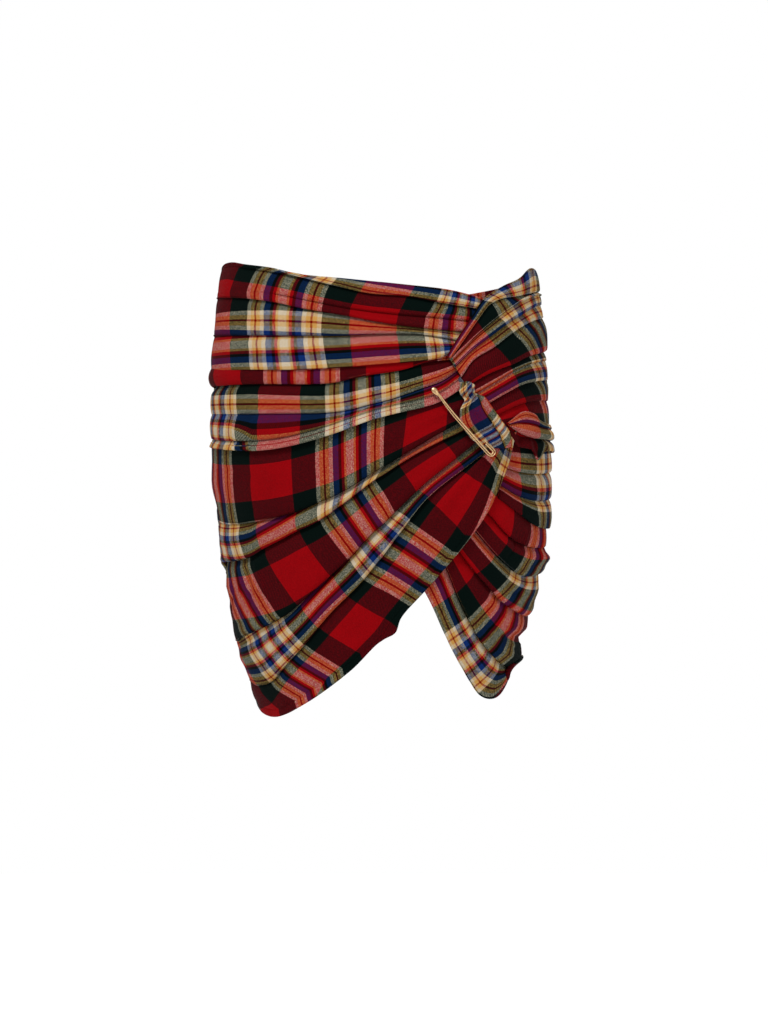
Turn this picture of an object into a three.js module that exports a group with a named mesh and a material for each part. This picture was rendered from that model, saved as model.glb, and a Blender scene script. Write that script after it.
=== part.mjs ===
// A short tartan wrap skirt, draped and gathered towards one hip and closed with a kilt pin.
// Millimetres, X to the wearer's left as seen from the front (right of the view), Y to the
// back, Z up. The origin is the centre of the waist, where the wearer's waist holds the skirt.
//
// The cloth follows a general figure: a stack of rounded rings. Every cloth piece is a fan of
// folds that runs from a side seam to the gather at the hip. A fold line is a short table of
// places [across, height], and the cloth between two lines is one arched roll, which ends in
// a lip over the start of the next roll.
import * as THREE from "three";

// ---------------------------------------------------------------- driving sizes
const CLOTH = 2;              // wall of the woollen cloth
const RING_POWER = 2.2;       // 2 is an ellipse, more is squarer
const CLOTH_STAND = 5;        // how far the charted cloth surface stands off the figure
const SEAM_BEARING = 97;      // degrees from centre front to each side seam
const SEAM_GAP = 0.18;        // degrees left open at a seam, about 0.4 mm
const LIP_DROP = 3;           // height over which a lip falls to the next roll
const LARGEST_DROP = 0.4;     // the most of a narrow roll that the lip takes
const MM_PER_DEGREE = 2.4;    // unrolled width of one degree of bearing
const ROLL_ROWS = 3;          // facets across one roll
const FULL_ROLL = 16;         // a narrower roll swells in proportion to its width
const SEAM_EASE = 0.06;       // share of a fold line over which its swell grows from a seam
const DEGREE = Math.PI / 180;
const SIDE = 999;             // an `across` that stands for the side seam

// The general figure: half width and the depths in front and behind, ring by ring.
const FIGURE = [
  { height: 40, half: 150, front: 96, back: 101 },
  { height: 0, half: 156, front: 102, back: 108 },
  { height: -40, half: 161, front: 106, back: 115 },
  { height: -80, half: 164, front: 109, back: 122 },
  { height: -120, half: 165, front: 112, back: 128 },
  { height: -165, half: 165, front: 112, back: 130 },
  { height: -200, half: 163, front: 112, back: 129 },
  { height: -240, half: 160, front: 110, back: 125 },
  { height: -280, half: 155, front: 108, back: 119 },
  { height: -320, half: 148, front: 105, back: 113 },
  { height: -360, half: 138, front: 101, back: 108 },
  { height: -400, half: 127, front: 98, back: 103 },
  { height: -440, half: 114, front: 94, back: 98 },
];

// ---------------------------------------------------------------- the fold tables
// path:  [across, height] from the side seam to the gather; on the back, [bearing, height]
// over:  how far the lip above the line stands off the figure, [at the side, at the gather]
// under: the same for the start of the roll below the line
// swell: how far the roll below the line arches between its two lines, in the same way
const LEFT_WAIST = [
  { path: [[-SIDE, 20], [-140, 19], [-110, 15], [-80, 8], [-35, 3], [25, -3], [70, -8], [104, -16]],
    under: [4, 5], over: [4, 5], swell: [1, 1] },
  { path: [[-SIDE, 14], [-140, 13], [-110, 9], [-80, 3], [-42, -4], [-10, -11], [30, -14], [62, -20], [102, -26]],
    under: [3, 4], over: [5, 6], swell: [1.5, 1.5] },
  { path: [[-SIDE, -3], [-120, -8], [-80, -16], [-30, -26], [20, -32], [60, -35], [92, -38]],
    under: [4, 4.5], over: [5, 5], swell: [1.5, 1.5] },
  { path: [[-SIDE, -10], [-135, -14], [-105, -19], [-80, -25], [-30, -34], [15, -42], [50, -46], [86, -49]],
    under: [3, 4], over: [5, 6], swell: [1.5, 1.5] },
  { path: [[-SIDE, -48], [-100, -52], [-40, -53], [10, -51], [45, -52], [80, -58]],
    under: [3, 4], over: [4, 6], swell: [2, 2] },
  { path: [[-SIDE, -85], [-140, -84], [-80, -85], [-30, -83], [20, -79], [50, -76], [72, -70]],
    over: [9.5, 8.5] },
];
const LEFT_HIP = [
  { path: [[-SIDE, -79], [-140, -78], [-80, -79], [-30, -77], [20, -73], [50, -70], [70, -65]],
    under: [3, 3], over: [3, 3], swell: [2.5, 1.5] },
  { path: [[-SIDE, -101], [-130, -100], [-50, -100], [-30, -96], [-10, -92], [22, -87], [50, -79], [74, -76]],
    under: [4, 4], over: [6, 5], swell: [2.5, 2.5] },
  { path: [[-SIDE, -128], [-100, -130], [-40, -128], [0, -119], [40, -106], [62, -98], [80, -86]],
    under: [4.5, 4], over: [6, 5], swell: [3, 3] },
  { path: [[-SIDE, -152], [-150, -157], [-120, -158], [-90, -155], [-50, -144], [7, -126], [57, -113], [78, -97]],
    under: [8, 7.5], over: [8.5, 7.5], swell: [1, 1] },
  { path: [[-SIDE, -159], [-150, -164], [-120, -165], [-90, -161], [-50, -150], [7, -131], [57, -118], [80, -104]],
    over: [10.5, 9.5] },
];
const LEFT_WRAP = [
  { path: [[-SIDE, -153], [-150, -158], [-120, -159], [-90, -155], [-50, -144], [7, -125], [57, -112], [88, -105]],
    under: [3, 3], over: [3, 3], swell: [4, 3] },
  { path: [[-SIDE, -234], [-140, -239], [-90, -229], [-64, -219], [-35, -206], [20, -173], [50, -155], [92, -131]],
    under: [4, 4], over: [5, 7], swell: [3, 3] },
  { path: [[-SIDE, -279], [-133, -276], [-100, -264], [-64, -238], [-35, -218], [20, -180], [50, -163], [95, -141]],
    under: [4, 4], over: [5, 7], swell: [5, 5] },
  { path: [[-SIDE, -337], [-105, -333], [-80, -318], [-35, -277], [-5, -246], [20, -223], [50, -195], [99, -155]],
    under: [4, 5], over: [7, 8], swell: [4, 4] },
  { path: [[-SIDE, -384], [-112, -389], [-75, -353], [-50, -327], [-17, -295], [20, -248], [50, -211], [106, -166]],
    under: [4, 8], over: [5, 9], swell: [4, 3] },
  { path: [[-SIDE, -412], [-104, -424], [-75, -407], [-35, -379], [0, -350], [14, -333], [38, -302], [70, -264],
    [96, -222], [112, -180], [123, -150]],
    under: [4, 11], over: [5, 12], swell: [1, 1] },
  { path: [[-SIDE, -419], [-105, -431], [-70, -413], [-30, -383], [2, -353], [14, -346], [20, -331], [45, -303],
    [77, -266], [107, -223], [124, -180], [132, -147]],
    over: [4.5, 12] },
];
const RIGHT_WAIST = [
  { path: [[SIDE, 13], [152, 17], [139, 5], [123, -3], [104, -16], [90, -37], [76, -58], [67, -73]],
    under: [4, 11], over: [4, 11], swell: [1, 1] },
  { path: [[SIDE, -6], [140, -12], [122, -15], [108, -23], [96, -41], [82, -59], [70, -78]],
    under: [3, 10], over: [5, 12], swell: [1, 1] },
  { path: [[SIDE, -12], [140, -21], [128, -28], [117, -37], [100, -52], [88, -64], [73, -83]],
    under: [5, 11], over: [5, 12], swell: [1, 1] },
  { path: [[SIDE, -20], [140, -31], [124, -42], [108, -57], [92, -70], [76, -88]],
    under: [3, 10], over: [6, 12], swell: [1, 1] },
  { path: [[SIDE, -28], [150, -37], [130, -50], [112, -64], [92, -77], [80, -94]],
    under: [3, 9], over: [6, 12], swell: [2.5, 2.5] },
  { path: [[SIDE, -62], [150, -71], [132, -80], [110, -89], [94, -98], [85, -104]],
    under: [3, 9], over: [5, 11], swell: [1, 1] },
  { path: [[SIDE, -72], [150, -79], [132, -87], [118, -96], [100, -107], [90, -112]],
    under: [3, 9], over: [5, 11], swell: [1.5, 1.5] },
  { path: [[SIDE, -92], [145, -99], [125, -109], [108, -119], [98, -125]],
    under: [3, 8], over: [6, 11], swell: [1.5, 1.5] },
  { path: [[SIDE, -114], [150, -117], [132, -123], [116, -131], [106, -135]],
    under: [3, 8], over: [5, 10], swell: [2, 2] },
  { path: [[SIDE, -150], [150, -150], [134, -149], [122, -147], [114, -147]],
    over: [5.5, 9] },
];
const RIGHT_HIP = [
  { path: [[SIDE, -145], [150, -146], [134, -146], [119, -149]],
    under: [2.5, 3], over: [2.5, 3], swell: [2, 1] },
  { path: [[SIDE, -187], [156, -193], [138, -189], [121, -183]],
    under: [4, 4], over: [7, 5.5], swell: [3, 1.5] },
  { path: [[SIDE, -206], [156, -208], [138, -203], [120, -196]],
    under: [4, 4], over: [6, 5], swell: [4, 2] },
  { path: [[SIDE, -243], [154, -240], [136, -226], [118, -212]],
    over: [9, 7] },
];
const RIGHT_WRAP = [
  { path: [[SIDE, -236], [150, -232], [132, -219], [112, -205], [98, -199]],
    under: [3, 3], over: [3, 3], swell: [3, 3] },
  { path: [[SIDE, -262], [148, -262], [130, -252], [112, -232], [94, -212]],
    under: [3, 3], over: [5, 3.5], swell: [3, 1] },
  { path: [[SIDE, -288], [140, -290], [118, -272], [98, -249], [80, -228]],
    under: [4, 3], over: [5, 3.5], swell: [2, 1] },
  { path: [[SIDE, -318], [136, -313], [112, -298], [90, -277], [64, -246]],
    under: [3, 3], over: [5, 3.5], swell: [3, 1] },
  { path: [[SIDE, -352], [122, -358], [104, -345], [86, -320], [70, -290], [50, -262]],
    under: [4, 3], over: [5, 3.5], swell: [2, 1] },
  { path: [[SIDE, -370], [128, -394], [112, -413], [97, -404], [83, -380], [66, -347], [50, -312], [34, -284]],
    over: [5, 3] },
];
const BACK = [
  { path: [[SEAM_BEARING, 15], [130, 3], [180, -8], [230, 6], [263, 19]],
    under: [4, 4], over: [4, 4], swell: [2, 2] },
  { path: [[SEAM_BEARING, -46], [130, -40], [180, -38], [230, -44], [263, -52]],
    under: [4, 4], over: [5, 5], swell: [3, 3] },
  { path: [[SEAM_BEARING, -112], [130, -98], [180, -86], [230, -104], [263, -122]],
    under: [4, 4], over: [5, 5], swell: [3, 3] },
  { path: [[SEAM_BEARING, -180], [130, -160], [180, -138], [230, -172], [263, -198]],
    under: [4, 4], over: [5, 5], swell: [3, 3] },
  { path: [[SEAM_BEARING, -262], [130, -232], [180, -200], [230, -252], [263, -290]],
    under: [4, 4], over: [5, 5], swell: [3, 3] },
  { path: [[SEAM_BEARING, -367], [116, -352], [136, -322], [153, -302], [166, -294], [180, -318], [200, -355],
    [226, -395], [263, -417]],
    over: [4, 4] },
];
const RUFFLE = [
  { path: [[80, -99], [79, -111], [83, -121], [79, -131], [84, -143], [92, -155], [99, -163]],
    under: [12, 14], over: [12, 14], swell: [2, 2] },
  { path: [[86, -100], [87, -110], [91, -120], [92, -132], [98, -142], [105, -152], [112, -162]],
    under: [16, 16], over: [16, 17], swell: [1, 1] },
  { path: [[91, -102], [93, -111], [100, -115], [107, -124], [116, -138], [122, -146], [126, -158]],
    over: [14, 15] },
];
const LOOPS = [
  { path: [[SIDE, -136], [152, -129], [140, -130], [124, -140]],
    under: [8, 15], over: [8, 15], swell: [1, 1] },
  { path: [[SIDE, -143], [152, -139], [140, -140], [125, -144]],
    under: [8, 15], over: [8.5, 16], swell: [2, 1] },
  { path: [[SIDE, -154], [155, -151], [144, -150], [128, -149]],
    under: [8.5, 15], over: [9, 17], swell: [1.5, 1] },
  { path: [[SIDE, -165], [158, -165], [148, -164], [132, -156]],
    over: [8.5, 15] },
];

// ---------------------------------------------------------------- the general figure
/** A smooth value from a table with a `height` column, by cubic pieces. */
function smoothValue(rows, column, height) {
  const last = rows.length - 1;
  if (height >= rows[0].height) return rows[0][column];
  if (height <= rows[last].height) return rows[last][column];
  let i = 0;
  while (height < rows[i + 1].height) i += 1;
  const slope = (k) => {
    const a = rows[Math.max(k - 1, 0)];
    const b = rows[Math.min(k + 1, last)];
    return (b[column] - a[column]) / (b.height - a.height);
  };
  const span = rows[i + 1].height - rows[i].height;
  const t = (height - rows[i].height) / span;
  const t2 = t * t;
  const t3 = t2 * t;
  return (2 * t3 - 3 * t2 + 1) * rows[i][column] + (t3 - 2 * t2 + t) * span * slope(i)
    + (3 * t2 - 2 * t3) * rows[i + 1][column] + (t3 - t2) * span * slope(i + 1);
}

/** The point `out` mm off the figure, at a bearing in degrees from centre front. */
function onFigure(bearing, height, out) {
  const half = smoothValue(FIGURE, "half", height);
  const sine = Math.sin(bearing * DEGREE);
  const cosine = Math.cos(bearing * DEGREE);
  const depth = smoothValue(FIGURE, cosine > 0 ? "front" : "back", height);
  const x = half * Math.sign(sine) * Math.abs(sine) ** (2 / RING_POWER);
  const y = -depth * Math.sign(cosine) * Math.abs(cosine) ** (2 / RING_POWER);
  const normalX = Math.sign(x) * Math.abs(x / half) ** (RING_POWER - 1) / half;
  const normalY = Math.sign(y) * Math.abs(y / depth) ** (RING_POWER - 1) / depth;
  const length = Math.hypot(normalX, normalY);
  return new THREE.Vector3(x + (out * normalX) / length, y + (out * normalY) / length, height);
}

/** The bearing of a place on the front, from how far across it lies. */
function frontBearing(across, height) {
  if (Math.abs(across) >= SIDE) return Math.sign(across) * (SEAM_BEARING - SEAM_GAP);
  const half = smoothValue(FIGURE, "half", height) + CLOTH_STAND;
  const sine = Math.min((Math.abs(across) / half) ** (RING_POWER / 2), 1);
  return (Math.sign(across) * Math.asin(sine)) / DEGREE;
}

// ---------------------------------------------------------------- cloth pieces
/** Linear value along a fold line, from its [side, gather] pair. */
const along = (pair, s) => pair[0] + (pair[1] - pair[0]) * s;

/** How much of its swell a roll has, from none at a seam to all a little way in. */
function seamEase(s, onBack) {
  const fromSeam = onBack ? Math.min(s, 1 - s) : s;
  return Math.min(fromSeam / SEAM_EASE, 1);
}

/** Evenly spaced [bearing, height] stations on a fold line. */
function stationsOf(path, count, onBack) {
  const points = path.map(([across, height]) => {
    const bearing = onBack ? across : frontBearing(across, height);
    return new THREE.Vector3(bearing * MM_PER_DEGREE, height, 0);
  });
  const curve = new THREE.CatmullRomCurve3(points, false, "centripetal");
  return curve.getSpacedPoints(count).map((p) => ({ bearing: p.x / MM_PER_DEGREE, height: p.y }));
}

/** The rows of one piece: each row is a list of { bearing, height, out } along the folds. */
function clothRows(folds, count, onBack) {
  const lines = folds.map((fold) => stationsOf(fold.path, count, onBack));
  const rows = [];
  for (let i = 0; i + 1 < folds.length; i += 1) {
    for (let k = 0; k <= ROLL_ROWS; k += 1) {
      const t = k / ROLL_ROWS;
      rows.push(lines[i].map((upper, j) => {
        const lower = lines[i + 1][j];
        const s = j / count;
        const width = Math.hypot((upper.bearing - lower.bearing) * MM_PER_DEGREE, upper.height - lower.height);
        const drop = i === 0 ? 0 : Math.min(LIP_DROP / width, LARGEST_DROP);
        const place = drop + (1 - drop) * t;
        const fullness = Math.min(width / FULL_ROLL, 1) * seamEase(s, onBack);
        return {
          bearing: upper.bearing + (lower.bearing - upper.bearing) * place,
          height: upper.height + (lower.height - upper.height) * place,
          out: along(folds[i].under, s) * (1 - t) + along(folds[i + 1].over, s) * t
            + along(folds[i].swell, s) * fullness * Math.sin(Math.PI * t),
        };
      }));
    }
  }
  return rows;
}

/** One closed wall from the rows of a piece: outer face, inner face and rim. */
function clothWall(rows) {
  const outer = rows.map((row) => row.map((p) => onFigure(p.bearing, p.height, p.out)));
  const inner = rows.map((row) => row.map((p) => onFigure(p.bearing, p.height, p.out - CLOTH)));
  const columns = rows[0].length;
  const positions = [...outer.flat(), ...inner.flat()].flatMap((p) => [p.x, p.y, p.z]);
  const innerStart = rows.length * columns;
  const indices = [];
  const quad = (a, b, c, d) => indices.push(a, b, c, a, c, d);
  for (let i = 0; i + 1 < rows.length; i += 1) {
    for (let j = 0; j + 1 < columns; j += 1) {
      const a = i * columns + j;
      const b = a + columns;
      quad(a, b, b + 1, a + 1);
      quad(innerStart + a, innerStart + a + 1, innerStart + b + 1, innerStart + b);
    }
  }
  const rim = [];
  for (let j = 0; j < columns - 1; j += 1) rim.push(j);
  for (let i = 0; i < rows.length - 1; i += 1) rim.push(i * columns + columns - 1);
  for (let j = columns - 1; j > 0; j -= 1) rim.push((rows.length - 1) * columns + j);
  for (let i = rows.length - 1; i > 0; i -= 1) rim.push(i * columns);
  rim.forEach((a, k) => {
    const b = rim[(k + 1) % rim.length];
    quad(a, b, innerStart + b, innerStart + a);
  });
  const geometry = new THREE.BufferGeometry();
  geometry.setAttribute("position", new THREE.Float32BufferAttribute(positions, 3));
  geometry.setIndex(indices);
  return geometry;
}

/** Turns a closed geometry's faces outwards if its volume comes out negative. */
function facedOutwards(geometry) {
  const position = geometry.getAttribute("position");
  const index = geometry.getIndex().array;
  const [a, b, c] = [new THREE.Vector3(), new THREE.Vector3(), new THREE.Vector3()];
  let volume = 0;
  for (let k = 0; k < index.length; k += 3) {
    a.fromBufferAttribute(position, index[k]);
    b.fromBufferAttribute(position, index[k + 1]);
    c.fromBufferAttribute(position, index[k + 2]);
    volume += a.dot(b.cross(c));
  }
  if (volume < 0) geometry.setIndex(Array.from(index).reverse());
  geometry.computeVertexNormals();
  return geometry;
}

const tartan = new THREE.MeshStandardMaterial({ color: 0x8c1018, roughness: 0.9, metalness: 0 });
const brass = new THREE.MeshStandardMaterial({ color: 0xc9a063, roughness: 0.3, metalness: 1 });

const skirt = new THREE.Group();

const CLOTH_PIECES = [
  { name: "waist_drape_left", folds: LEFT_WAIST, stations: 17 },
  { name: "hip_drape_left", folds: LEFT_HIP, stations: 17 },
  { name: "front_wrap_left", folds: LEFT_WRAP, stations: 20 },
  { name: "waist_drape_right", folds: RIGHT_WAIST, stations: 10 },
  { name: "hip_drape_right", folds: RIGHT_HIP, stations: 8 },
  { name: "front_wrap_right", folds: RIGHT_WRAP, stations: 14 },
  { name: "back_panel", folds: BACK, stations: 16, onBack: true },
  { name: "gather_ruffle", folds: RUFFLE, stations: 10 },
  { name: "ruffle_loops", folds: LOOPS, stations: 8 },
];
for (const piece of CLOTH_PIECES) {
  const rows = clothRows(piece.folds, piece.stations, piece.onBack === true);
  const mesh = new THREE.Mesh(facedOutwards(clothWall(rows)), tartan);
  mesh.name = piece.name;
  skirt.add(mesh);
}

// ---------------------------------------------------------------- the kilt pin
// A safety pin bent from two wires, side by side: both run from the clasp down the cloth, turn
// back round the spring end and run into the cloth again.
const PIN_HEAD = { across: 53, height: -107, out: 12 };
const PIN_FOOT = { across: 106, height: -173, out: 19.8 };
const BAR_WIRE = 2;
const NEEDLE_WIRE = 1.4;
const WIRE_SIDES = 8;
const TURN = 2.3;             // radius of the bar's turn, and the space between the wires
const CLASP = { radius: 2.6, length: 4 };
const PIN_GAP = 0.35;         // between the clasp and the wires' ends
const TURN_START = 5;         // how far before the foot the wires start to turn back
const STRAIGHT_SHARES = [0, 0.3, 0.6, 0.85];   // points on the straight run, as shares of it
const TURN_POINTS = 4;        // spans of the half circle

const pinRun = new THREE.Vector2(PIN_FOOT.across - PIN_HEAD.across, PIN_FOOT.height - PIN_HEAD.height);
const PIN_LENGTH = pinRun.length();
pinRun.normalize();

/** A point of the pin, `down` mm from the clasp and `beside` mm towards the gather. */
function pinPoint(down, beside) {
  const across = PIN_HEAD.across + pinRun.x * down - pinRun.y * beside;
  const height = PIN_HEAD.height + pinRun.y * down + pinRun.x * beside;
  const out = PIN_HEAD.out + (PIN_FOOT.out - PIN_HEAD.out) * Math.min(down / PIN_LENGTH, 1);
  return onFigure(frontBearing(across, height), height, out);
}

/** The path of one wire, `lane` mm outside the middle of the turn, with its end `back` mm up. */
function wirePath(lane, back) {
  const start = CLASP.radius + PIN_GAP;
  const turnAt = PIN_LENGTH - TURN_START;
  const points = STRAIGHT_SHARES.map((share) => pinPoint(start + (PIN_LENGTH - start) * share, TURN - lane));
  for (let k = 0; k <= TURN_POINTS; k += 1) {
    const angle = (Math.PI * k) / TURN_POINTS;
    points.push(pinPoint(turnAt + lane * Math.sin(angle), TURN - lane * Math.cos(angle)));
  }
  points.push(pinPoint(turnAt - back, TURN + lane));
  return new THREE.CatmullRomCurve3(points, false, "centripetal");
}

/** A round wire along a path. */
function wire(path, diameter, steps) {
  const section = new THREE.Shape();
  for (let k = 0; k < WIRE_SIDES; k += 1) {
    const angle = (2 * Math.PI * k) / WIRE_SIDES;
    const corner = [(Math.cos(angle) * diameter) / 2, (Math.sin(angle) * diameter) / 2];
    if (k === 0) section.moveTo(...corner);
    else section.lineTo(...corner);
  }
  return new THREE.ExtrudeGeometry(section, { steps, extrudePath: path, curveSegments: 1 });
}

/** The cap that holds both wires' ends, a rounded bar across them. */
function clasp() {
  const cap = new THREE.CapsuleGeometry(CLASP.radius, CLASP.length, 3, 8);
  const from = pinPoint(0, -CLASP.length / 2);
  const to = pinPoint(0, CLASP.length / 2);
  const turn = new THREE.Quaternion().setFromUnitVectors(new THREE.Vector3(0, 1, 0), to.clone().sub(from).normalize());
  const middle = pinPoint(0, 0);
  return cap.applyQuaternion(turn).translate(middle.x, middle.y, middle.z);
}

const PIN_PIECES = [
  { name: "kilt_pin_bar", geometry: wire(wirePath(TURN, 12), BAR_WIRE, 26) },
  { name: "kilt_pin_needle", geometry: wire(wirePath(2 * TURN, 15), NEEDLE_WIRE, 30) },
  { name: "kilt_pin_clasp", geometry: clasp() },
];
for (const piece of PIN_PIECES) {
  const mesh = new THREE.Mesh(piece.geometry, brass);
  mesh.name = piece.name;
  skirt.add(mesh);
}

export default skirt;
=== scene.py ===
"""A short tartan wrap skirt, draped and gathered to one hip and held by a kilt pin.

The tables are in millimetres: `across` runs to the right of the front view, heights are above
the waist and `out` is the distance off a general figure of rounded rings. Every cloth piece is
a fan of folds. A fold line runs from the side seam to the gather, and the cloth between two
lines is a soft roll that ends in a lip over the start of the next one. A place in the tartan
is counted in repeats of the sett, u along the folds and v across them.
"""

import logging
import math
from collections.abc import Iterable
from dataclasses import dataclass, field
from enum import Enum
from itertools import pairwise

import bmesh
import bpy
import numpy as np
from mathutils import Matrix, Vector


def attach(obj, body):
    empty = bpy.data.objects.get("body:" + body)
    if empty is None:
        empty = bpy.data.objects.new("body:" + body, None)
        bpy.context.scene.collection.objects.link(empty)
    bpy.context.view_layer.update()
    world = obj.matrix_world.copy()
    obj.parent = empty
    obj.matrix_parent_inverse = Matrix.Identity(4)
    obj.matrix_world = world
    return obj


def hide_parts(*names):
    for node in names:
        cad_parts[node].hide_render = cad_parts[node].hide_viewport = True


Pair = tuple[float, float]
Path = tuple[Pair, ...]
Values = tuple[float, ...]
Place = tuple[float, float, float]
Array = np.ndarray

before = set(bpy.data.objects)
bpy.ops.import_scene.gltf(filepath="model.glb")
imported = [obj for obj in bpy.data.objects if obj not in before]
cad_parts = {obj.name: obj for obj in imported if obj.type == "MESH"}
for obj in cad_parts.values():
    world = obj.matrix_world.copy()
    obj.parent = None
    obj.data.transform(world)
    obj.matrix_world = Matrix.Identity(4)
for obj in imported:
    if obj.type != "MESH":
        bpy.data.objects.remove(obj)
LOG = logging.getLogger("skirt")
MM = 0.001
SIDE = 999.0  # an `across` that stands for the side seam
SETT = 175.0  # one repeat of the tartan


def hermite(t: Array | float, first: Array, leaving: Array, last: Array, arriving: Array) -> Array:
    """A cubic between two places, from the slopes there.

    Args:
        t: how far along, from 0 to 1.
        first: where it starts.
        leaving: the slope there.
        last: where it ends.
        arriving: the slope there.

    Returns:
        The places on the way.
    """
    return (
        first * (2 * t**3 - 3 * t**2 + 1) + leaving * (t**3 - 2 * t**2 + t)
        + last * (3 * t**2 - 2 * t**3) + arriving * (t**3 - t**2)
    )


# ---------------------------------------------------------------- the general figure
@dataclass(frozen=True)
class Figure:
    """The general figure that the worn skirt stands off, a stack of rounded rings."""

    power: float = 2.2
    seam_bearing: float = 97.0
    mm_per_degree: float = 2.4
    charted_stand: float = 5.0
    # height, half width, depth in front, depth behind
    rings: tuple[tuple[float, float, float, float], ...] = (
        (40, 150, 96, 101),
        (0, 156, 102, 108),
        (-40, 161, 106, 115),
        (-80, 164, 109, 122),
        (-120, 165, 112, 128),
        (-165, 165, 112, 130),
        (-200, 163, 112, 129),
        (-240, 160, 110, 125),
        (-280, 155, 108, 119),
        (-320, 148, 105, 113),
        (-360, 138, 101, 108),
        (-400, 127, 98, 103),
        (-440, 114, 94, 98),
    )
    pinch_angle: float = 20.0
    # ruching at the seams: bearing, height, how far it draws the cloth in (less than 0 where
    # the cloth puffs out), half height
    pinches: tuple[tuple[float, float, float, float], ...] = (
        (97, -275, -4, 9),
        (97, -354, 9, 6.5),
        (-97, -201, -3, 14),
        (-97, -254, 3, 6),
        (-97, -278, -3.5, 5),
        (-97, -314, 4.5, 9),
    )

    def ring(self, height: Array) -> Array:
        """The half width and both depths of the ring at each height.

        Args:
            height: heights in millimetres, in any shape.

        Returns:
            An array of that shape with the three values last.
        """
        table = np.array(self.rings[::-1], dtype=float)
        levels, values = table[:, 0], table[:, 1:]
        slopes = np.empty_like(values)
        slopes[1:-1] = (values[2:] - values[:-2]) / (levels[2:] - levels[:-2])[:, None]
        slopes[0] = (values[1] - values[0]) / (levels[1] - levels[0])
        slopes[-1] = (values[-1] - values[-2]) / (levels[-1] - levels[-2])
        at = np.clip(height, levels[0], levels[-1])
        low = np.clip(np.searchsorted(levels, at) - 1, 0, len(levels) - 2)
        span = (levels[low + 1] - levels[low])[..., None]
        t = ((at - levels[low]) / span[..., 0])[..., None]
        return hermite(t, values[low], span * slopes[low], values[low + 1], span * slopes[low + 1])

    def points(self, bearing: Array, height: Array, out: Array) -> Array:
        """The points that stand off the figure.

        Args:
            bearing: degrees from centre front.
            height: heights.
            out: distances off the rings.

        Returns:
            X, Y and Z in millimetres, last in the array.
        """
        for seam, level, depth, reach in self.pinches:
            away = (bearing - seam + 180) % 360 - 180
            near = np.exp(-((away / self.pinch_angle) ** 2) - ((height - level) / reach) ** 2)
            out = out - depth * near
        half, front, back = np.moveaxis(self.ring(height), -1, 0)
        sine, cosine = np.sin(np.radians(bearing)), np.cos(np.radians(bearing))
        depth = np.where(cosine > 0, front, back)
        x = half * np.sign(sine) * np.abs(sine) ** (2 / self.power)
        y = -depth * np.sign(cosine) * np.abs(cosine) ** (2 / self.power)
        normal_x = np.sign(x) * np.abs(x / half) ** (self.power - 1) / half
        normal_y = np.sign(y) * np.abs(y / depth) ** (self.power - 1) / depth
        length = np.hypot(normal_x, normal_y)
        return np.stack([x + out * normal_x / length, y + out * normal_y / length, height], axis=-1)

    def across(self, bearing: Array, height: Array) -> Array:
        """How far across a place on the front lies, from its bearing in degrees."""
        half = self.ring(height)[..., 0] + self.charted_stand
        sine = np.sin(np.radians(bearing))
        return np.sign(sine) * half * np.abs(sine) ** (2 / self.power)

    def bearing(self, across: float, height: float) -> float:
        """The bearing in degrees of a place on the front, from how far across it lies."""
        if abs(across) >= SIDE:
            return math.copysign(self.seam_bearing, across)
        half = float(self.ring(np.array(float(height)))[0]) + self.charted_stand
        sine = min((abs(across) / half) ** (self.power / 2), 1.0)
        return math.copysign(math.degrees(math.asin(sine)), across)


FIGURE = Figure()


class Region(Enum):
    """Which way the `across` of a path is read."""

    FRONT = "front"
    BACK = "back"

    def bearing(self, across: float, height: float) -> float:
        """The bearing of a path's point, which on the back is given as it is."""
        return across if self is Region.BACK else FIGURE.bearing(across, height)

    def unrolled(self, path: Path) -> list[Pair]:
        """A path's points, as millimetres around the figure and heights."""
        return [(self.bearing(a, h) * FIGURE.mm_per_degree, h) for a, h in path]


# ---------------------------------------------------------------- fold lines
@dataclass(frozen=True)
class FoldLine:
    """One fold line, from the side seam to the gather.

    The columns without their own note hold values evenly spaced from the side to the gather.

    path: places (across, height), on the back (bearing, height).
    u: (across, place in the sett) met on the way, for the cloth above the line; one pair alone
        is (how much the cloth is gathered, place at the start).
    over: stand-off of the lip above the line, which a top edge hasn't.
    under: stand-off of the cloth that comes out below the line, which a hem hasn't.
    swell: how far the roll below the line arches.
    crisp: 1 for a tucked fold, 0 for none, more for a deep one.
    u_below: the same as u for the cloth below, where the tuck shifts it.
    v_above, v_below: places in the sett across the folds.
    pleats: fine pleats in the roll below, a whole number.
    pucker: their height.
    """

    path: Path
    u: Path
    over: Values = (5,)
    under: Values = (4,)
    swell: Values = (2,)
    crisp: Values = (1,)
    u_below: Path = ()
    v_above: Values = ()
    v_below: Values = ()
    pleats: int = 0
    pucker: Values = (0,)


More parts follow.
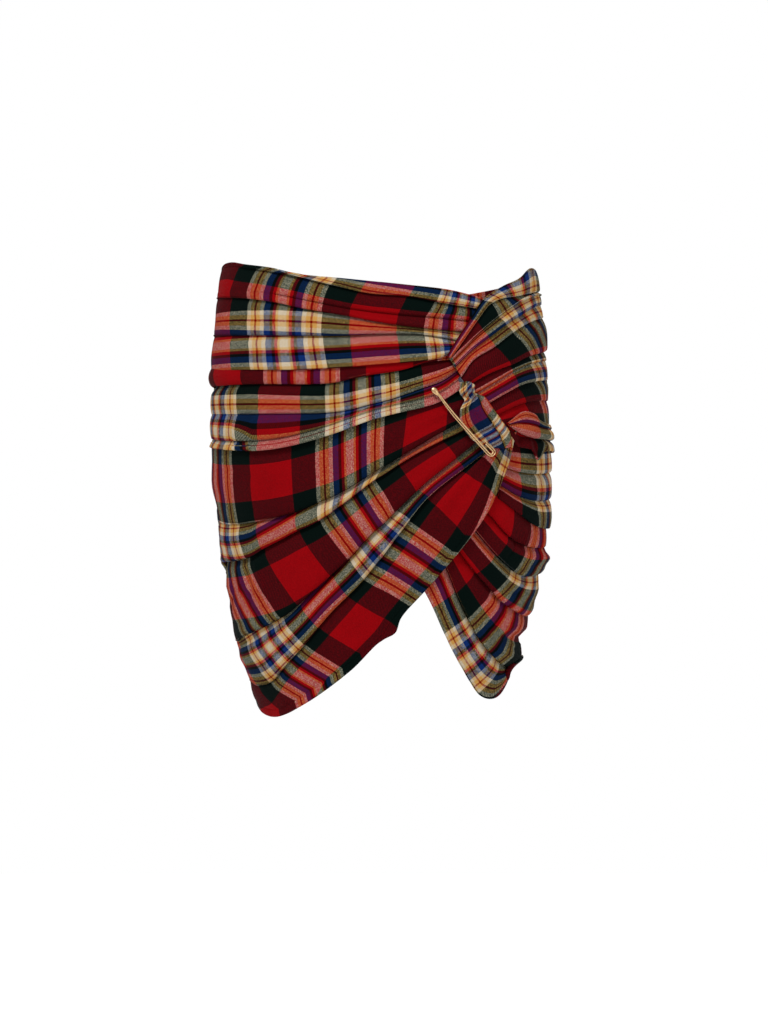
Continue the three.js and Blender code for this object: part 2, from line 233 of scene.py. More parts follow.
@dataclass(frozen=True)
class Crease:
    """A soft trough or ridge, placed along a given path.

    path: places (across, height), on the back (bearing, height).
    lift: height of the ridge, less than 0 for a trough.
    width: half width of the crease.
    taper: how slowly it dies away at its ends, less for a blunter end.
    """

    path: Path
    lift: float
    width: float = 3.0
    taper: float = 0.6

    def relief(self, region: Region, x: Array, z: Array) -> Array:
        """How much the crease moves each point out.

        Args:
            region: how the path is read.
            x: unrolled places around the figure, in millimetres.
            z: heights.

        Returns:
            Millimetres to add to the stand-off.
        """
        places = region.unrolled(self.path)
        lengths = [math.dist(a, b) for a, b in pairwise(places)]
        total, done = sum(lengths), 0.0
        best = np.full_like(x, 1e6)
        share = np.zeros_like(x)
        for (ax, az), (bx, bz), length in zip(places, places[1:], lengths):
            t = np.clip(((x - ax) * (bx - ax) + (z - az) * (bz - az)) / length**2, 0, 1)
            distance = np.hypot(x - ax - t * (bx - ax), z - az - t * (bz - az))
            nearer = distance < best
            best = np.where(nearer, distance, best)
            share = np.where(nearer, (done + t * length) / total, share)
            done += length
        fade = np.sin(np.pi * np.clip(share, 0, 1)) ** self.taper
        return self.lift * fade * np.exp(-((best / self.width) ** 2))


Folds = tuple[FoldLine, ...]
Creases = tuple[Crease, ...]


@dataclass
class Cloth:
    """Rows of cloth points across the folds, each row running along them."""

    x: list[Array] = field(default_factory=list)
    z: list[Array] = field(default_factory=list)
    out: list[Array] = field(default_factory=list)
    u: list[Array] = field(default_factory=list)
    v: list[Array] = field(default_factory=list)

    def add(self, x: Array, z: Array, out: Array, u: Array, v: Array) -> None:
        """Adds one row."""
        for column, values in zip((self.x, self.z, self.out, self.u, self.v), (x, z, out, u, v)):
            column.append(values)


def centripetal(points: Array, per_span: int = 24) -> Array:
    """A smooth curve through points, as centripetal Catmull-Rom spans.

    Args:
        points: the points to pass through.
        per_span: samples in each span.

    Returns:
        The samples in order.
    """
    padded = np.vstack([2 * points[0] - points[1], points, 2 * points[-1] - points[-2]])
    samples = []
    for p0, p1, p2, p3 in zip(padded, padded[1:], padded[2:], padded[3:]):
        d0, d1, d2 = (math.sqrt(math.dist(a, b)) for a, b in ((p0, p1), (p1, p2), (p2, p3)))
        start = ((p1 - p0) / d0 - (p2 - p0) / (d0 + d1) + (p2 - p1) / d1) * d1
        end = ((p2 - p1) / d1 - (p3 - p1) / (d1 + d2) + (p3 - p2) / d2) * d1
        samples += [hermite(k / per_span, p1, start, p2, end) for k in range(per_span)]
    samples.append(points[-1])
    return np.array(samples)


class Station:
    """A fold line worked out at every column of its piece."""

    STEEP = 1.5  # how fast a line turns into a full tuck as it gets crisper

    def __init__(self, fold: FoldLine, region: Region, columns: int) -> None:
        """Works the line out.

        Args:
            fold: the line.
            region: how its path is read.
            columns: how many columns.
        """
        curve = centripetal(np.array(region.unrolled(fold.path), dtype=float))
        length = np.concatenate([[0], np.cumsum(np.hypot(*np.diff(curve, axis=0).T))])
        even = np.linspace(0, length[-1], columns)
        self.share = even / length[-1]
        self.x = np.interp(even, length, curve[:, 0])
        self.z = np.interp(even, length, curve[:, 1])
        bearing = self.x / FIGURE.mm_per_degree
        surface = FIGURE.points(bearing, self.z, np.full(columns, FIGURE.charted_stand))
        steps = np.linalg.norm(np.diff(surface, axis=0), axis=1)
        self.arc = np.concatenate([[0], np.cumsum(steps)])
        self.across = bearing if region is Region.BACK else FIGURE.across(bearing, self.z)
        charted = (fold.over, fold.under, fold.swell, fold.crisp, fold.pucker)
        self.over, self.under, self.swell, self.crisp, self.pucker = map(self.evenly, charted)
        self.pleats = fold.pleats
        self.u_above = self.threads(fold.u)
        self.u_below = self.threads(fold.u_below) if fold.u_below else self.u_above
        self.v_above = self.evenly(fold.v_above or fold.v_below)
        self.v_below = self.evenly(fold.v_below or fold.v_above)

    def evenly(self, values: Values) -> Array:
        """Evenly spaced values, read at every column."""
        return np.interp(self.share, np.linspace(0, 1, len(values)), values)

    def soften(self) -> None:
        """Brings the two stand-offs together where the line is no tuck."""
        middle = (self.over + self.under) / 2
        sharp = np.clip(self.STEEP * self.crisp, 0, 1)
        self.over = middle + (self.over - middle) * sharp
        self.under = middle + (self.under - middle) * sharp

    def threads(self, anchors: Path) -> Array:
        """The place in the sett along the line, from anchors and past them by true length.

        Args:
            anchors: (across, place in the sett), on the back (bearing, place).

        Returns:
            The place in the sett at every column.
        """
        if len(anchors) == 1:
            gathered, start = anchors[0]
            return start + gathered * self.arc / SETT
        rising = self.across[-1] > self.across[0]
        turned = sorted(anchors, key=lambda pair: pair[0] if rising else -pair[0])
        way = np.maximum.accumulate(self.across if rising else -self.across)
        at = np.array([float(np.interp(a if rising else -a, way, self.arc)) for a, _ in turned])
        values = np.array([u for _, u in turned], dtype=float)
        sign = np.sign(values[-1] - values[0])
        result = np.interp(self.arc, at, values)
        result = np.where(self.arc < at[0], values[0] - sign * (at[0] - self.arc) / SETT, result)
        return np.where(self.arc > at[-1], values[-1] + sign * (self.arc - at[-1]) / SETT, result)


# ---------------------------------------------------------------- finishes
@dataclass(frozen=True)
class Stripe:
    """One colour of the sett, from where the last one ends to `until`, in repeats."""

    until: float
    colour: tuple[int, int, int]


class Yarn(Enum):
    """The dyed yarns, as 8-bit display colours."""

    RED = (101, 0, 11)
    GREEN = (1, 14, 12)
    CREAM = (139, 128, 110)
    YELLOW = (139, 103, 54)
    RUST = (78, 5, 2)
    BLUE = (13, 32, 72)
    BLACK = (3, 3, 5)


class Nodes:
    """A small helper that makes and joins shader nodes."""

    def __init__(self, name: str) -> None:
        """Starts a material of that name."""
        self.material = bpy.data.materials.new(name)
        self.material.use_nodes = True
        self.tree = self.material.node_tree
        self.shader = self.tree.nodes["Principled BSDF"]

    def add(self, kind: str, **settings: object) -> bpy.types.Node:
        """A new node with its settings."""
        node = self.tree.nodes.new(kind)
        for key, value in settings.items():
            setattr(node, key, value)
        return node

    def join(self, source: bpy.types.NodeSocket, target: bpy.types.NodeSocket) -> None:
        """Links two sockets."""
        self.tree.links.new(source, target)

    def math(self, operation: str, *values: object, clamp: bool = False) -> bpy.types.NodeSocket:
        """A Math node.

        Args:
            operation: its operation.
            values: numbers or sockets for its inputs.
            clamp: whether the result stays from 0 to 1.

        Returns:
            Its output socket.
        """
        node = self.add("ShaderNodeMath", operation=operation, use_clamp=clamp)
        self.feed(node.inputs, values)
        return node.outputs[0]

    def mix(self, *values: object, blend: str = "MIX") -> bpy.types.NodeSocket:
        """A colour Mix node, from a factor and two colours, each a value or a socket."""
        node = self.add("ShaderNodeMix", data_type="RGBA", blend_type=blend)
        self.feed((node.inputs[0], node.inputs[6], node.inputs[7]), values)
        return node.outputs[2]

    def feed(self, sockets: Iterable[bpy.types.NodeSocket], values: Iterable[object]) -> None:
        """Gives each socket its value, or links it to the socket that feeds it."""
        for socket, value in zip(sockets, values):
            if isinstance(value, bpy.types.NodeSocket):
                self.join(value, socket)
            else:
                socket.default_value = value

    def noise(self, scale: float, detail: float = 2.0) -> bpy.types.NodeSocket:
        """Noise over the piece's own Object coordinates."""
        coordinates = self.add("ShaderNodeTexCoord")
        texture = self.add("ShaderNodeTexNoise")
        self.join(coordinates.outputs["Object"], texture.inputs["Vector"])
        self.feed((texture.inputs["Scale"], texture.inputs["Detail"]), (scale, detail))
        return texture.outputs[0]


@dataclass(frozen=True)
class TartanWool:
    """A light woollen twill, woven in a large red and green sett."""

    sett: tuple[Stripe, ...] = (
        Stripe(0.022, Yarn.CREAM.value),
        Stripe(0.036, Yarn.YELLOW.value),
        Stripe(0.053, Yarn.RED.value),
        Stripe(0.072, Yarn.BLACK.value),
        Stripe(0.106, Yarn.BLUE.value),
        Stripe(0.130, Yarn.CREAM.value),
        Stripe(0.153, Yarn.YELLOW.value),
        Stripe(0.165, Yarn.RUST.value),
        Stripe(0.188, Yarn.YELLOW.value),
        Stripe(0.212, Yarn.CREAM.value),
        Stripe(0.361, Yarn.GREEN.value),
        Stripe(0.5, Yarn.RED.value),
    )
    twill_pitch: float = 2.3
    twill_depth: float = 0.1
    fleck: float = 0.3
    light_fleck: float = 1.5
    fleck_scale: float = 800.0
    thread_pitch: float = 0.7
    thread_bump: float = 0.25
    nap_scale: float = 700.0
    nap_depth: float = 0.22
    nap_dark: float = 0.85
    wear_scale: float = 38.0
    wear_depth: float = 0.12
    wear_dark: float = 0.96
    twill_bump: float = 0.5
    bump_strength: float = 0.35
    bump_height: float = 0.0004
    roughness: float = 0.9
    specular: float = 0.03
    gamma: float = 2.2

    def stripes(self, nodes: Nodes, place: bpy.types.NodeSocket) -> bpy.types.NodeSocket:
        """The yarn colour at a place in the sett, which is mirrored at every half repeat."""
        mirrored = nodes.math("PINGPONG", place, 0.5)
        ramp = nodes.add("ShaderNodeValToRGB")
        ramp.color_ramp.interpolation = "CONSTANT"
        stops = ramp.color_ramp.elements
        stops.remove(stops[1])
        starts = [0.0, *(stripe.until * 2 for stripe in self.sett[:-1])]
        for start, stripe in zip(starts, self.sett):
            stop = stops.new(start) if start else stops[0]
            stop.color = (*(value / 255 for value in stripe.colour), 1)
        nodes.join(nodes.math("MULTIPLY", mirrored, 2.0), ramp.inputs[0])
        return ramp.outputs[0]

    def material(self) -> bpy.types.Material:
        """Makes the material, which reads the piece's own thread map.

        Returns:
            The finished material.
        """
        nodes = Nodes("tartan_wool")
        threads = nodes.add("ShaderNodeUVMap", uv_map="threads")
        split = nodes.add("ShaderNodeSeparateXYZ")
        nodes.join(threads.outputs[0], split.inputs[0])
        u, v = split.outputs[0], split.outputs[1]
        warp, weft = self.stripes(nodes, u), self.stripes(nodes, v)
        turns = 2 * math.pi * SETT / self.twill_pitch
        twill = nodes.math("SINE", nodes.math("MULTIPLY", nodes.math("ADD", u, v), turns))
        flecks = nodes.noise(self.fleck_scale, detail=1.0)
        greens = []
        for yarn in (warp, weft):
            channels = nodes.add("ShaderNodeSeparateColor")
            nodes.join(yarn, channels.inputs[0])
            greens.append(channels.outputs[1])
        contrast = nodes.math("ABSOLUTE", nodes.math("SUBTRACT", *greens))
        depth = nodes.math("MULTIPLY_ADD", contrast, self.light_fleck, self.fleck)
        ribs = nodes.math("MULTIPLY_ADD", twill, self.twill_depth, 0.5)
        centred = nodes.math("SUBTRACT", flecks, 0.5)
        over = nodes.math("MULTIPLY_ADD", centred, depth, ribs, clamp=True)
        woven = nodes.mix(over, warp, weft)
        nap, wear = nodes.noise(self.nap_scale), nodes.noise(self.wear_scale)
        shade = nodes.math(
            "MULTIPLY",
            nodes.math("MULTIPLY_ADD", nap, self.nap_depth, self.nap_dark),
            nodes.math("MULTIPLY_ADD", wear, self.wear_depth, self.wear_dark),
        )
        grey = nodes.add("ShaderNodeCombineXYZ")
        for socket in grey.inputs:
            nodes.join(shade, socket)
        faded = nodes.mix(1.0, woven, grey.outputs[0], blend="MULTIPLY")
        linear = nodes.add("ShaderNodeGamma")
        nodes.join(faded, linear.inputs[0])
        linear.inputs[1].default_value = self.gamma
        nodes.join(linear.outputs[0], nodes.shader.inputs["Base Color"])
        self.bump(nodes, u, v, twill, nap)
        nodes.shader.inputs["Roughness"].default_value = self.roughness
        nodes.shader.inputs["Specular IOR Level"].default_value = self.specular
        return nodes.material

    def bump(self, nodes: Nodes, u: object, v: object, twill: object, nap: object) -> None:
        """Raises the twill's ribs, the single threads and the nap.

        Args:
            nodes: the material's nodes.
            u: place in the sett along the folds.
            v: place in the sett across the folds.
            twill: the twill's wave.
            nap: the nap's noise.
        """
        turns = 2 * math.pi * SETT / self.thread_pitch
        across = nodes.math("SINE", nodes.math("MULTIPLY", u, turns))
        along = nodes.math("SINE", nodes.math("MULTIPLY", v, turns))
        threads = nodes.math("MULTIPLY", nodes.math("MULTIPLY", across, along), self.thread_bump)
        ribs = nodes.math("MULTIPLY", twill, self.twill_bump)
        height = nodes.math("ADD", nodes.math("ADD", threads, ribs), nap)
        bump = nodes.add("ShaderNodeBump")
        bump.inputs["Strength"].default_value = self.bump_strength
        bump.inputs["Distance"].default_value = self.bump_height
        nodes.join(height, bump.inputs["Height"])
        nodes.join(bump.outputs[0], nodes.shader.inputs["Normal"])


@dataclass(frozen=True)
class PinBrass:
    """Pale gold plate on a kilt pin, mottled with darker, rougher tarnish."""

    colour: tuple[float, float, float, float] = (0.44, 0.29, 0.15, 1)
    dark: tuple[float, float, float, float] = (0.22, 0.13, 0.06, 1)
    roughness: float = 0.2
    tarnish_scale: float = 220.0
    tarnish_colour: float = 0.6
    tarnish_roughness: float = 0.2

    def material(self) -> bpy.types.Material:
        """Makes the material.

        Returns:
            The finished material.
        """
        nodes = Nodes("pin_brass")
        tarnish = nodes.noise(self.tarnish_scale)
        darker = nodes.math("MULTIPLY", tarnish, self.tarnish_colour, clamp=True)
        rougher = nodes.math("MULTIPLY_ADD", tarnish, self.tarnish_roughness, self.roughness)
        nodes.join(nodes.mix(darker, self.colour, self.dark), nodes.shader.inputs["Base Color"])
        nodes.join(rougher, nodes.shader.inputs["Roughness"])
        nodes.shader.inputs["Metallic"].default_value = 1.0
        return nodes.material


# ---------------------------------------------------------------- cloth pieces
def make_object(name: str, bm: bmesh.types.BMesh, finish: bpy.types.Material) -> bpy.types.Object:
    """Puts a finished bmesh into the scene, and frees it.

    Args:
        name: the piece's name.
        bm: its shape.
        finish: its material.

    Returns:
        The new object, at the origin.
    """
    mesh = bpy.data.meshes.new(name)
    bm.to_mesh(mesh)
    bm.free()
    mesh.materials.append(finish)
    piece = bpy.data.objects.new(name, mesh)
    bpy.context.scene.collection.objects.link(piece)
    return piece


@dataclass(frozen=True)
class Waviness:
    """The slight unevenness of worn wool, a fine and a broad pattern of crossed waves.

    fine, broad: their heights.
    fine_round, fine_down, broad_round, broad_down: millimetres for each radian of their waves.
    sway_round, sway_down: the same for the drift of the fine waves.
    lean_round, lean_down: the same for the slant of the broad waves.
    drift: how far the fine waves drift, in radians, up and around.
    phase: where the broad waves start.
    """

    fine: float = 0.32
    fine_round: float = 8.3
    fine_down: float = 6.1
    sway_round: float = 21
    sway_down: float = 17
    drift: Pair = (1.7, 1.3)
    broad: float = 0.3
    broad_round: float = 19
    broad_down: float = 15
    lean_round: float = 33
    lean_down: float = 27
    phase: float = 2.0

    def relief(self, x: Array, z: Array) -> tuple[Array, Array]:
        """The fine and the broad relief at each point."""
        fine = (
            self.fine * np.sin(x / self.fine_round + self.drift[0] * np.sin(z / self.sway_down))
            * np.sin(z / self.fine_down + self.drift[1] * np.sin(x / self.sway_round))
        )
        broad = (
            self.broad * np.sin(x / self.broad_round + z / self.lean_down + self.phase)
            * np.sin(z / self.broad_down - x / self.lean_round)
        )
        return fine, broad


@dataclass
class ClothPanel:
    """One cut piece of cloth, built from its fold lines.

    name: the piece's name.
    node: the CAD node it stands for.
    folds: its fold lines, from the top down.
    flat: the size it was cut to, in metres; not used.
    creases: troughs and ridges placed one by one.
    columns: columns along the folds.
    seam_out: stand-off at the side seam.
    waist_edge: whether its top is a turned edge that shows.
    region: how its paths are read.
    rests_on: what it lies on; not used.
    allowance: (distance past the seam, stand-off) of the turned-in edges at both side seams.
    held: how the cloth keeps its shape; not used.
    wall: thickness of the cloth.
    roll_samples: rows in each roll, of which `even_rows` of their spacing is even.
    least_width: the least width that a roll is worked out with.
    overhang, hang_share: how far a lip hangs over a crisp line, and its most, as a share of the
        roll; `soft_step` is the step at a line less crisp than `tucked_from`.
    tuck_place, tuck_depth: where the hidden row of a tuck lies, along the step and up it.
    lip, lip_share: how wide the rounding of a lip is, and its most, as a share of the roll.
    lip_drop, tuck_drop: how far the lip rounds inwards, for its step and for its crispness.
    full_roll, slack, roundness: the width of a full roll, its share of swell where nothing is
        tucked, and how pointed its arch is.
    pleat_phase, pleat_slant, pleat_fade: where the fine pleats start, lean to and fade out.
    gully, gully_width: depth and width of the shadow line under a tuck.
    hem_radius, hem_depth, hem_share, hem_rows: how an edge turns in.
    seam_reach, seam_press: how near the seam the cloth is eased down, and how much dips keep.
    seam_dip, seam_stitch: depth and half width of the stitched line.
    """

    name: str
    node: str
    folds: Folds
    flat: Pair
    creases: Creases = ()
    columns: int = 160
    seam_out: float = 4.5
    waist_edge: bool = False
    region: Region = Region.FRONT
    rests_on: tuple[str, ...] = ()
    allowance: Path = ()
    held: str = "gathered"
    wall: float = 1.2
    roll_samples: int = 16
    even_rows: float = 0.35
    least_width: float = 0.5
    overhang: float = 2.6
    hang_share: float = 0.3
    soft_step: float = 0.4
    tucked_from: float = 0.1
    tuck_place: float = 0.4
    tuck_depth: float = 0.25
    lip: float = 5.0
    lip_share: float = 0.45
    lip_drop: float = 0.5
    tuck_drop: float = 0.6
    full_roll: float = 16.0
    slack: float = 0.3
    roundness: float = 0.8
    pleat_phase: float = 2.1
    pleat_slant: float = 2.0
    pleat_fade: float = 0.5
    gully: float = 3.4
    gully_width: float = 4.8
    hem_radius: float = 1.3
    hem_depth: float = 7.0
    hem_share: float = 0.5
    hem_rows: int = 5
    seam_reach: float = 12.0
    seam_press: float = 0.5
    seam_dip: float = 0.9
    seam_stitch: float = 1.8

    def cloth(self) -> Cloth:
        """All rows of the piece, from the top down."""
        stations = [Station(fold, self.region, self.columns) for fold in self.folds]
        for station in stations[1:-1]:
            station.soften()
        cloth = Cloth()
        if self.waist_edge:
            self.turned_edge(cloth, stations[0], stations[1], top=True)
        for i, (upper, lower) in enumerate(pairwise(stations)):
            self.roll(cloth, upper, lower, first=i == 0, last=i == len(stations) - 2)
        self.turned_edge(cloth, stations[-1], stations[-2], top=False)
        return cloth

    def roll(self, cloth: Cloth, upper: Station, lower: Station, first: bool, last: bool) -> None:
        """Adds one roll, and the tuck above it.

        Args:
            cloth: where the rows go.
            upper: the line above.
            lower: the line below.
            first: whether no tuck lies above.
            last: whether the roll ends in a hem.
        """
        dx, dz = lower.x - upper.x, lower.z - upper.z
        width = np.maximum(np.hypot(dx, dz), self.least_width)
        most = self.hang_share * width
        hang = 0 * width if first else np.minimum(self.overhang * upper.crisp, most)
        hang = np.where(first | (upper.crisp > self.tucked_from), hang, -self.soft_step)
        start = -hang / width
        if not first:
            cloth.add(upper.x + self.tuck_place * dx * start,
                      upper.z + self.tuck_place * dz * start,
                      upper.under + self.tuck_depth * (upper.over - upper.under),
                      (upper.u_above + upper.u_below) / 2, (upper.v_above + upper.v_below) / 2)
        lip = np.minimum(self.lip, self.lip_share * width)
        drop = self.lip_drop * (lower.over - lower.under) + self.tuck_drop * lower.crisp
        drop = 0 * width if last else drop
        tucked = np.clip(np.maximum(0 if first else upper.crisp, 0 if last else lower.crisp), 0, 1)
        fullness = np.minimum(width / self.full_roll, 1) * (self.slack + (1 - self.slack) * tucked)
        for k in range(self.roll_samples + 1):
            even = k / self.roll_samples
            eased = 0.5 - 0.5 * math.cos(math.pi * even)
            t = self.even_rows * even + (1 - self.even_rows) * eased
            place = start + (1 - start) * t
            left = np.clip((1 - place) * width / lip, 0, 1)
            rounding = drop * (1 - np.sqrt(np.maximum(1 - (1 - left) ** 2, 0)))
            arch = math.sin(math.pi * t)
            slant = self.pleat_slant * upper.share
            waves = np.sin(2 * math.pi * upper.pleats * t + self.pleat_phase + slant)
            pleat = arch**self.pleat_fade * waves
            below = np.maximum(place * width, 0) / self.gully_width
            gully = 0 if first else self.gully * upper.crisp * np.exp(-below * below)
            out = (upper.under * (1 - t) + lower.over * t
                   + upper.swell * fullness * arch**self.roundness
                   + upper.pucker * pleat - rounding - gully)
            cloth.add(upper.x + dx * place, upper.z + dz * place, out,
                      upper.u_below * (1 - t) + lower.u_above * t,
                      upper.v_below * (1 - t) + lower.v_above * t)

    def turned_edge(self, cloth: Cloth, edge: Station, inner: Station, top: bool) -> None:
        """Adds the rows that turn an edge round to the inside.

        Args:
            cloth: where the rows go.
            edge: the edge's line.
            inner: the next line, into the piece.
            top: whether it is the top edge, whose rows come first.
        """
        dx, dz = edge.x - inner.x, edge.z - inner.z
        width = np.maximum(np.hypot(dx, dz), self.least_width)
        level = edge.under if top else edge.over
        u = edge.u_below if top else edge.u_above
        v = edge.v_below if top else edge.v_above
        inner_v = inner.v_above if top else inner.v_below
        rate = np.sign(v - inner_v) / SETT
        depth = np.minimum(self.hem_depth, self.hem_share * width)
        rows = [
            (self.hem_radius * math.sin(angle) + 0 * width, self.hem_radius * (1 - math.cos(angle)))
            for angle in np.linspace(math.pi / 6, math.pi, self.hem_rows)
        ]
        rows += [(-depth / 2, 2 * self.hem_radius), (-depth, 2 * self.hem_radius)]
        for beyond, inwards in (reversed(rows) if top else rows):
            cloth.add(edge.x + dx * beyond / width, edge.z + dz * beyond / width, level - inwards,
                      u, v + rate * (2 * self.hem_radius - beyond))

    def relief(self, cloth: Cloth) -> tuple[Array, Array, Array]:
        """The rows as arrays, with the creases, an unevenness and the seams worked in."""
        x, z, out = (np.array(rows) for rows in (cloth.x, cloth.z, cloth.out))
        for crease in self.creases:
            out = out + crease.relief(self.region, x, z)
        for wave in Waviness().relief(x, z):
            out = out + wave
        seam = FIGURE.seam_bearing * FIGURE.mm_per_degree
        around = np.abs(x)
        around = np.minimum(around, 360 * FIGURE.mm_per_degree - around)
        inwards = np.abs(around - seam)
        ease = np.clip(inwards / self.seam_reach, 0, 1)
        ease = ease * ease * (3 - 2 * ease)
        inside = np.minimum(out - self.seam_out, 0)
        out = self.seam_out + (out - self.seam_out) * ease + self.seam_press * inside * (1 - ease)
        out -= self.seam_dip * np.exp(-((inwards / self.seam_stitch) ** 2))
        return x, z, out

    def widened(self, values: Array, step: float) -> Array:
        """Adds the columns of the seam allowances to both ends of the rows.

        Args:
            values: one value for every point of the rows.
            step: how much the value grows for each millimetre past the last column.

        Returns:
            The rows with one more column at each end for every entry of the allowance.
        """
        beyond = np.array([distance for distance, _ in self.allowance])
        before = values[:, :1] - step * beyond[::-1]
        after = values[:, -1:] + step * beyond
        return np.hstack([before, values, after])

    def mesh(self, wool: bpy.types.Material) -> bpy.types.Object:
        """Builds the piece as a grid whose points are moved on to the cloth.

        Args:
            wool: the cloth's material.

        Returns:
            The new object, at the origin.
        """
        cloth = self.cloth()
        x, z, out = self.relief(cloth)
        u, v = np.array(cloth.u), np.array(cloth.v)
        if self.allowance:
            stands = np.tile([stand for _, stand in self.allowance], (len(out), 1))
            x, z = self.widened(x, 1), self.widened(z, 0)
            out = np.hstack([stands[:, ::-1], out, stands])
            u, v = self.widened(u, 1 / SETT), self.widened(v, 0)
        points = FIGURE.points(x / FIGURE.mm_per_degree, z, out) * MM
        rows, columns = x.shape
        bm = bmesh.new()
        bmesh.ops.create_grid(bm, x_segments=columns - 1, y_segments=rows - 1, size=1)
        spots = [
            (round((vert.co.y + 1) / 2 * (rows - 1)), round((vert.co.x + 1) / 2 * (columns - 1)))
            for vert in bm.verts
        ]
        for vert, spot in zip(bm.verts, spots):
            vert.co = points[spot]
        bm.normal_update()
        bm.faces.ensure_lookup_table()
        middle = bm.faces[len(bm.faces) // 2]
        centre = middle.calc_center_median()
        if middle.normal.dot(Vector((centre.x, centre.y, 0))) < 0:
            bmesh.ops.reverse_faces(bm, faces=bm.faces)
        piece = make_object(self.name, bm, wool)
        self.map_threads(piece.data, np.array(spots), u, v)
        piece.data.shade_smooth()
        wall = piece.modifiers.new("wall", "SOLIDIFY")
        wall.thickness = self.wall * MM
        wall.offset = -1
        return piece

    def map_threads(self, mesh: bpy.types.Mesh, spots: Array, u: Array, v: Array) -> None:
        """Writes each point's place in the sett as a UV map.

        Args:
            mesh: the piece's mesh.
            spots: the row and column of each vertex.
            u: places in the sett along the folds.
            v: places in the sett across the folds.
        """
        row, column = spots.T
        corners = np.empty(len(mesh.loops), dtype=np.int32)
        mesh.loops.foreach_get("vertex_index", corners)
        places = np.stack([u[row, column], v[row, column]], axis=-1)[corners]
        layer = mesh.uv_layers.new(name="threads")
        layer.data.foreach_set("uv", places.astype(np.float32).ravel())

    def build(self, wool: bpy.types.Material) -> bpy.types.Object:
        """Args:
            wool: the cloth's material.

        Returns:
            The finished piece.
        """
        piece = self.mesh(wool)
        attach(piece, "root")
        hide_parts(self.node)
        LOG.info("%s: %d faces", self.name, len(piece.data.polygons))
        return piece


@dataclass
class LeftWaistDrape(ClothPanel):
    """The upper left drape, from the waist edge to the lip over the hip drape."""

    BLOCK = ((-134, 0.778), (-57, 1.222), (-31, 1.361), (16, 1.639), (44, 1.788), (74, 1.97))
    LOWER = ((-128, 0.788), (-52, 1.212), (-27, 1.361), (20, 1.639), (48, 1.788), (72, 1.95))
    EDGE = ((-119, 0.788), (-42, 1.222), (-14, 1.361), (35, 1.639), (62, 1.788), (100, 2.15))

    name: str = "left_waist_drape"
    node: str = "waist_drape_left"
    flat: Pair = (0.36, 0.11)
    columns: int = 170
    seam_out: float = 5.6
    waist_edge: bool = True
    rests_on: tuple[str, ...] = ("hip_drape_left",)
    folds: Folds = (
        FoldLine(
            ((-SIDE, 20), (-150, 23), (-138, 20), (-110, 15), (-82, 8), (-35, 3), (25, -3),
             (70, -8), (104, -16)),
            u=EDGE, under=(9, 5, 4, 4, 5), swell=(1,),
            v_below=(-0.67, -0.67, -0.76, -0.88, -0.93, -0.95),
        ),
        FoldLine(
            ((-SIDE, 18), (-150, 20), (-138, 17), (-110, 12), (-80, 5.5), (-42, -4), (-10, -11),
             (30, -14), (62, -20), (102, -26)),
            u=((-124, 0.788), (-48, 1.222), (-20, 1.361), (29, 1.639), (57, 1.788), (98, 2.15)),
            u_below=((-126, 0.788), (-50, 1.222), (-22, 1.361), (27, 1.639), (56, 1.788),
                     (98, 2.12)),
            under=(9, 3.5, 3, 3.5, 4), over=(9, 4, 5, 5, 6), swell=(1.5,), crisp=(0, 0.1, 1, 1, 1),
            v_above=(-0.68, -0.68, -0.74, -0.80, -0.84, -0.82),
            v_below=(-0.68, -0.68, -0.72, -0.75, -0.76, -0.74),
        ),
        FoldLine(
            ((-SIDE, -3), (-120, -8), (-80, -16), (-30, -26), (20, -32), (60, -35), (92, -38)),
            u=((-133, 0.788), (-56, 1.222), (-30, 1.361), (18, 1.639), (46, 1.788), (80, 2.0)),
            under=(8.5, 4, 4.5), over=(8.5, 5, 5), swell=(1.5,), crisp=(0, 0, 0.3, 0.5),
            v_above=(-0.60,), v_below=(-0.56, -0.50), pleats=2, pucker=(0, 0, 0.5),
        ),
        FoldLine(
            ((-SIDE, -10), (-135, -14), (-105, -19), (-80, -25), (-30, -34), (15, -42), (50, -46),
             (86, -49)),
            u=BLOCK, under=(8, 3, 4), over=(8, 5, 6), swell=(1.5,), crisp=(0, 0.7, 1, 1),
            v_above=(-0.345, -0.345, -0.36, -0.38, -0.40, -0.40),
            v_below=(-0.33, -0.31, -0.28, -0.23, -0.212, -0.21), pleats=2, pucker=(0, 0, 0.6),
        ),
        FoldLine(
            ((-SIDE, -48), (-100, -52), (-40, -53), (10, -51), (45, -52), (80, -58)), u=BLOCK,
            under=(6.5, 3, 4), over=(7, 5, 6), swell=(2,), crisp=(0.1, 0.6, 1, 1),
            v_above=(-0.07, -0.07, -0.08, -0.09, -0.106, -0.106),
            v_below=(-0.07, -0.07, -0.06, -0.05, -0.036, -0.03), pleats=3, pucker=(0, 0, 0.3, 1.0),
        ),
        FoldLine(
            ((-SIDE, -85), (-140, -84), (-80, -85), (-30, -83), (20, -79), (50, -76), (72, -70)),
            u=LOWER, over=(6.5, 8.5, 8.5), v_above=(0.14, 0.14, 0.14, 0.14, 0.15, 0.15, 0.16),
        ),
    )
    creases: Creases = (
        Crease(((-150, -20), (-132, -30), (-112, -44)), -1.2, 4.0),
        Crease(((-150, -62), (-130, -68), (-100, -70)), -1.0, 4.5),
        Crease(((-95, -66), (-55, -64), (-10, -66)), -0.7, 4.0),
        Crease(((20, -62), (45, -64), (66, -65)), -1.2, 2.6),
    )


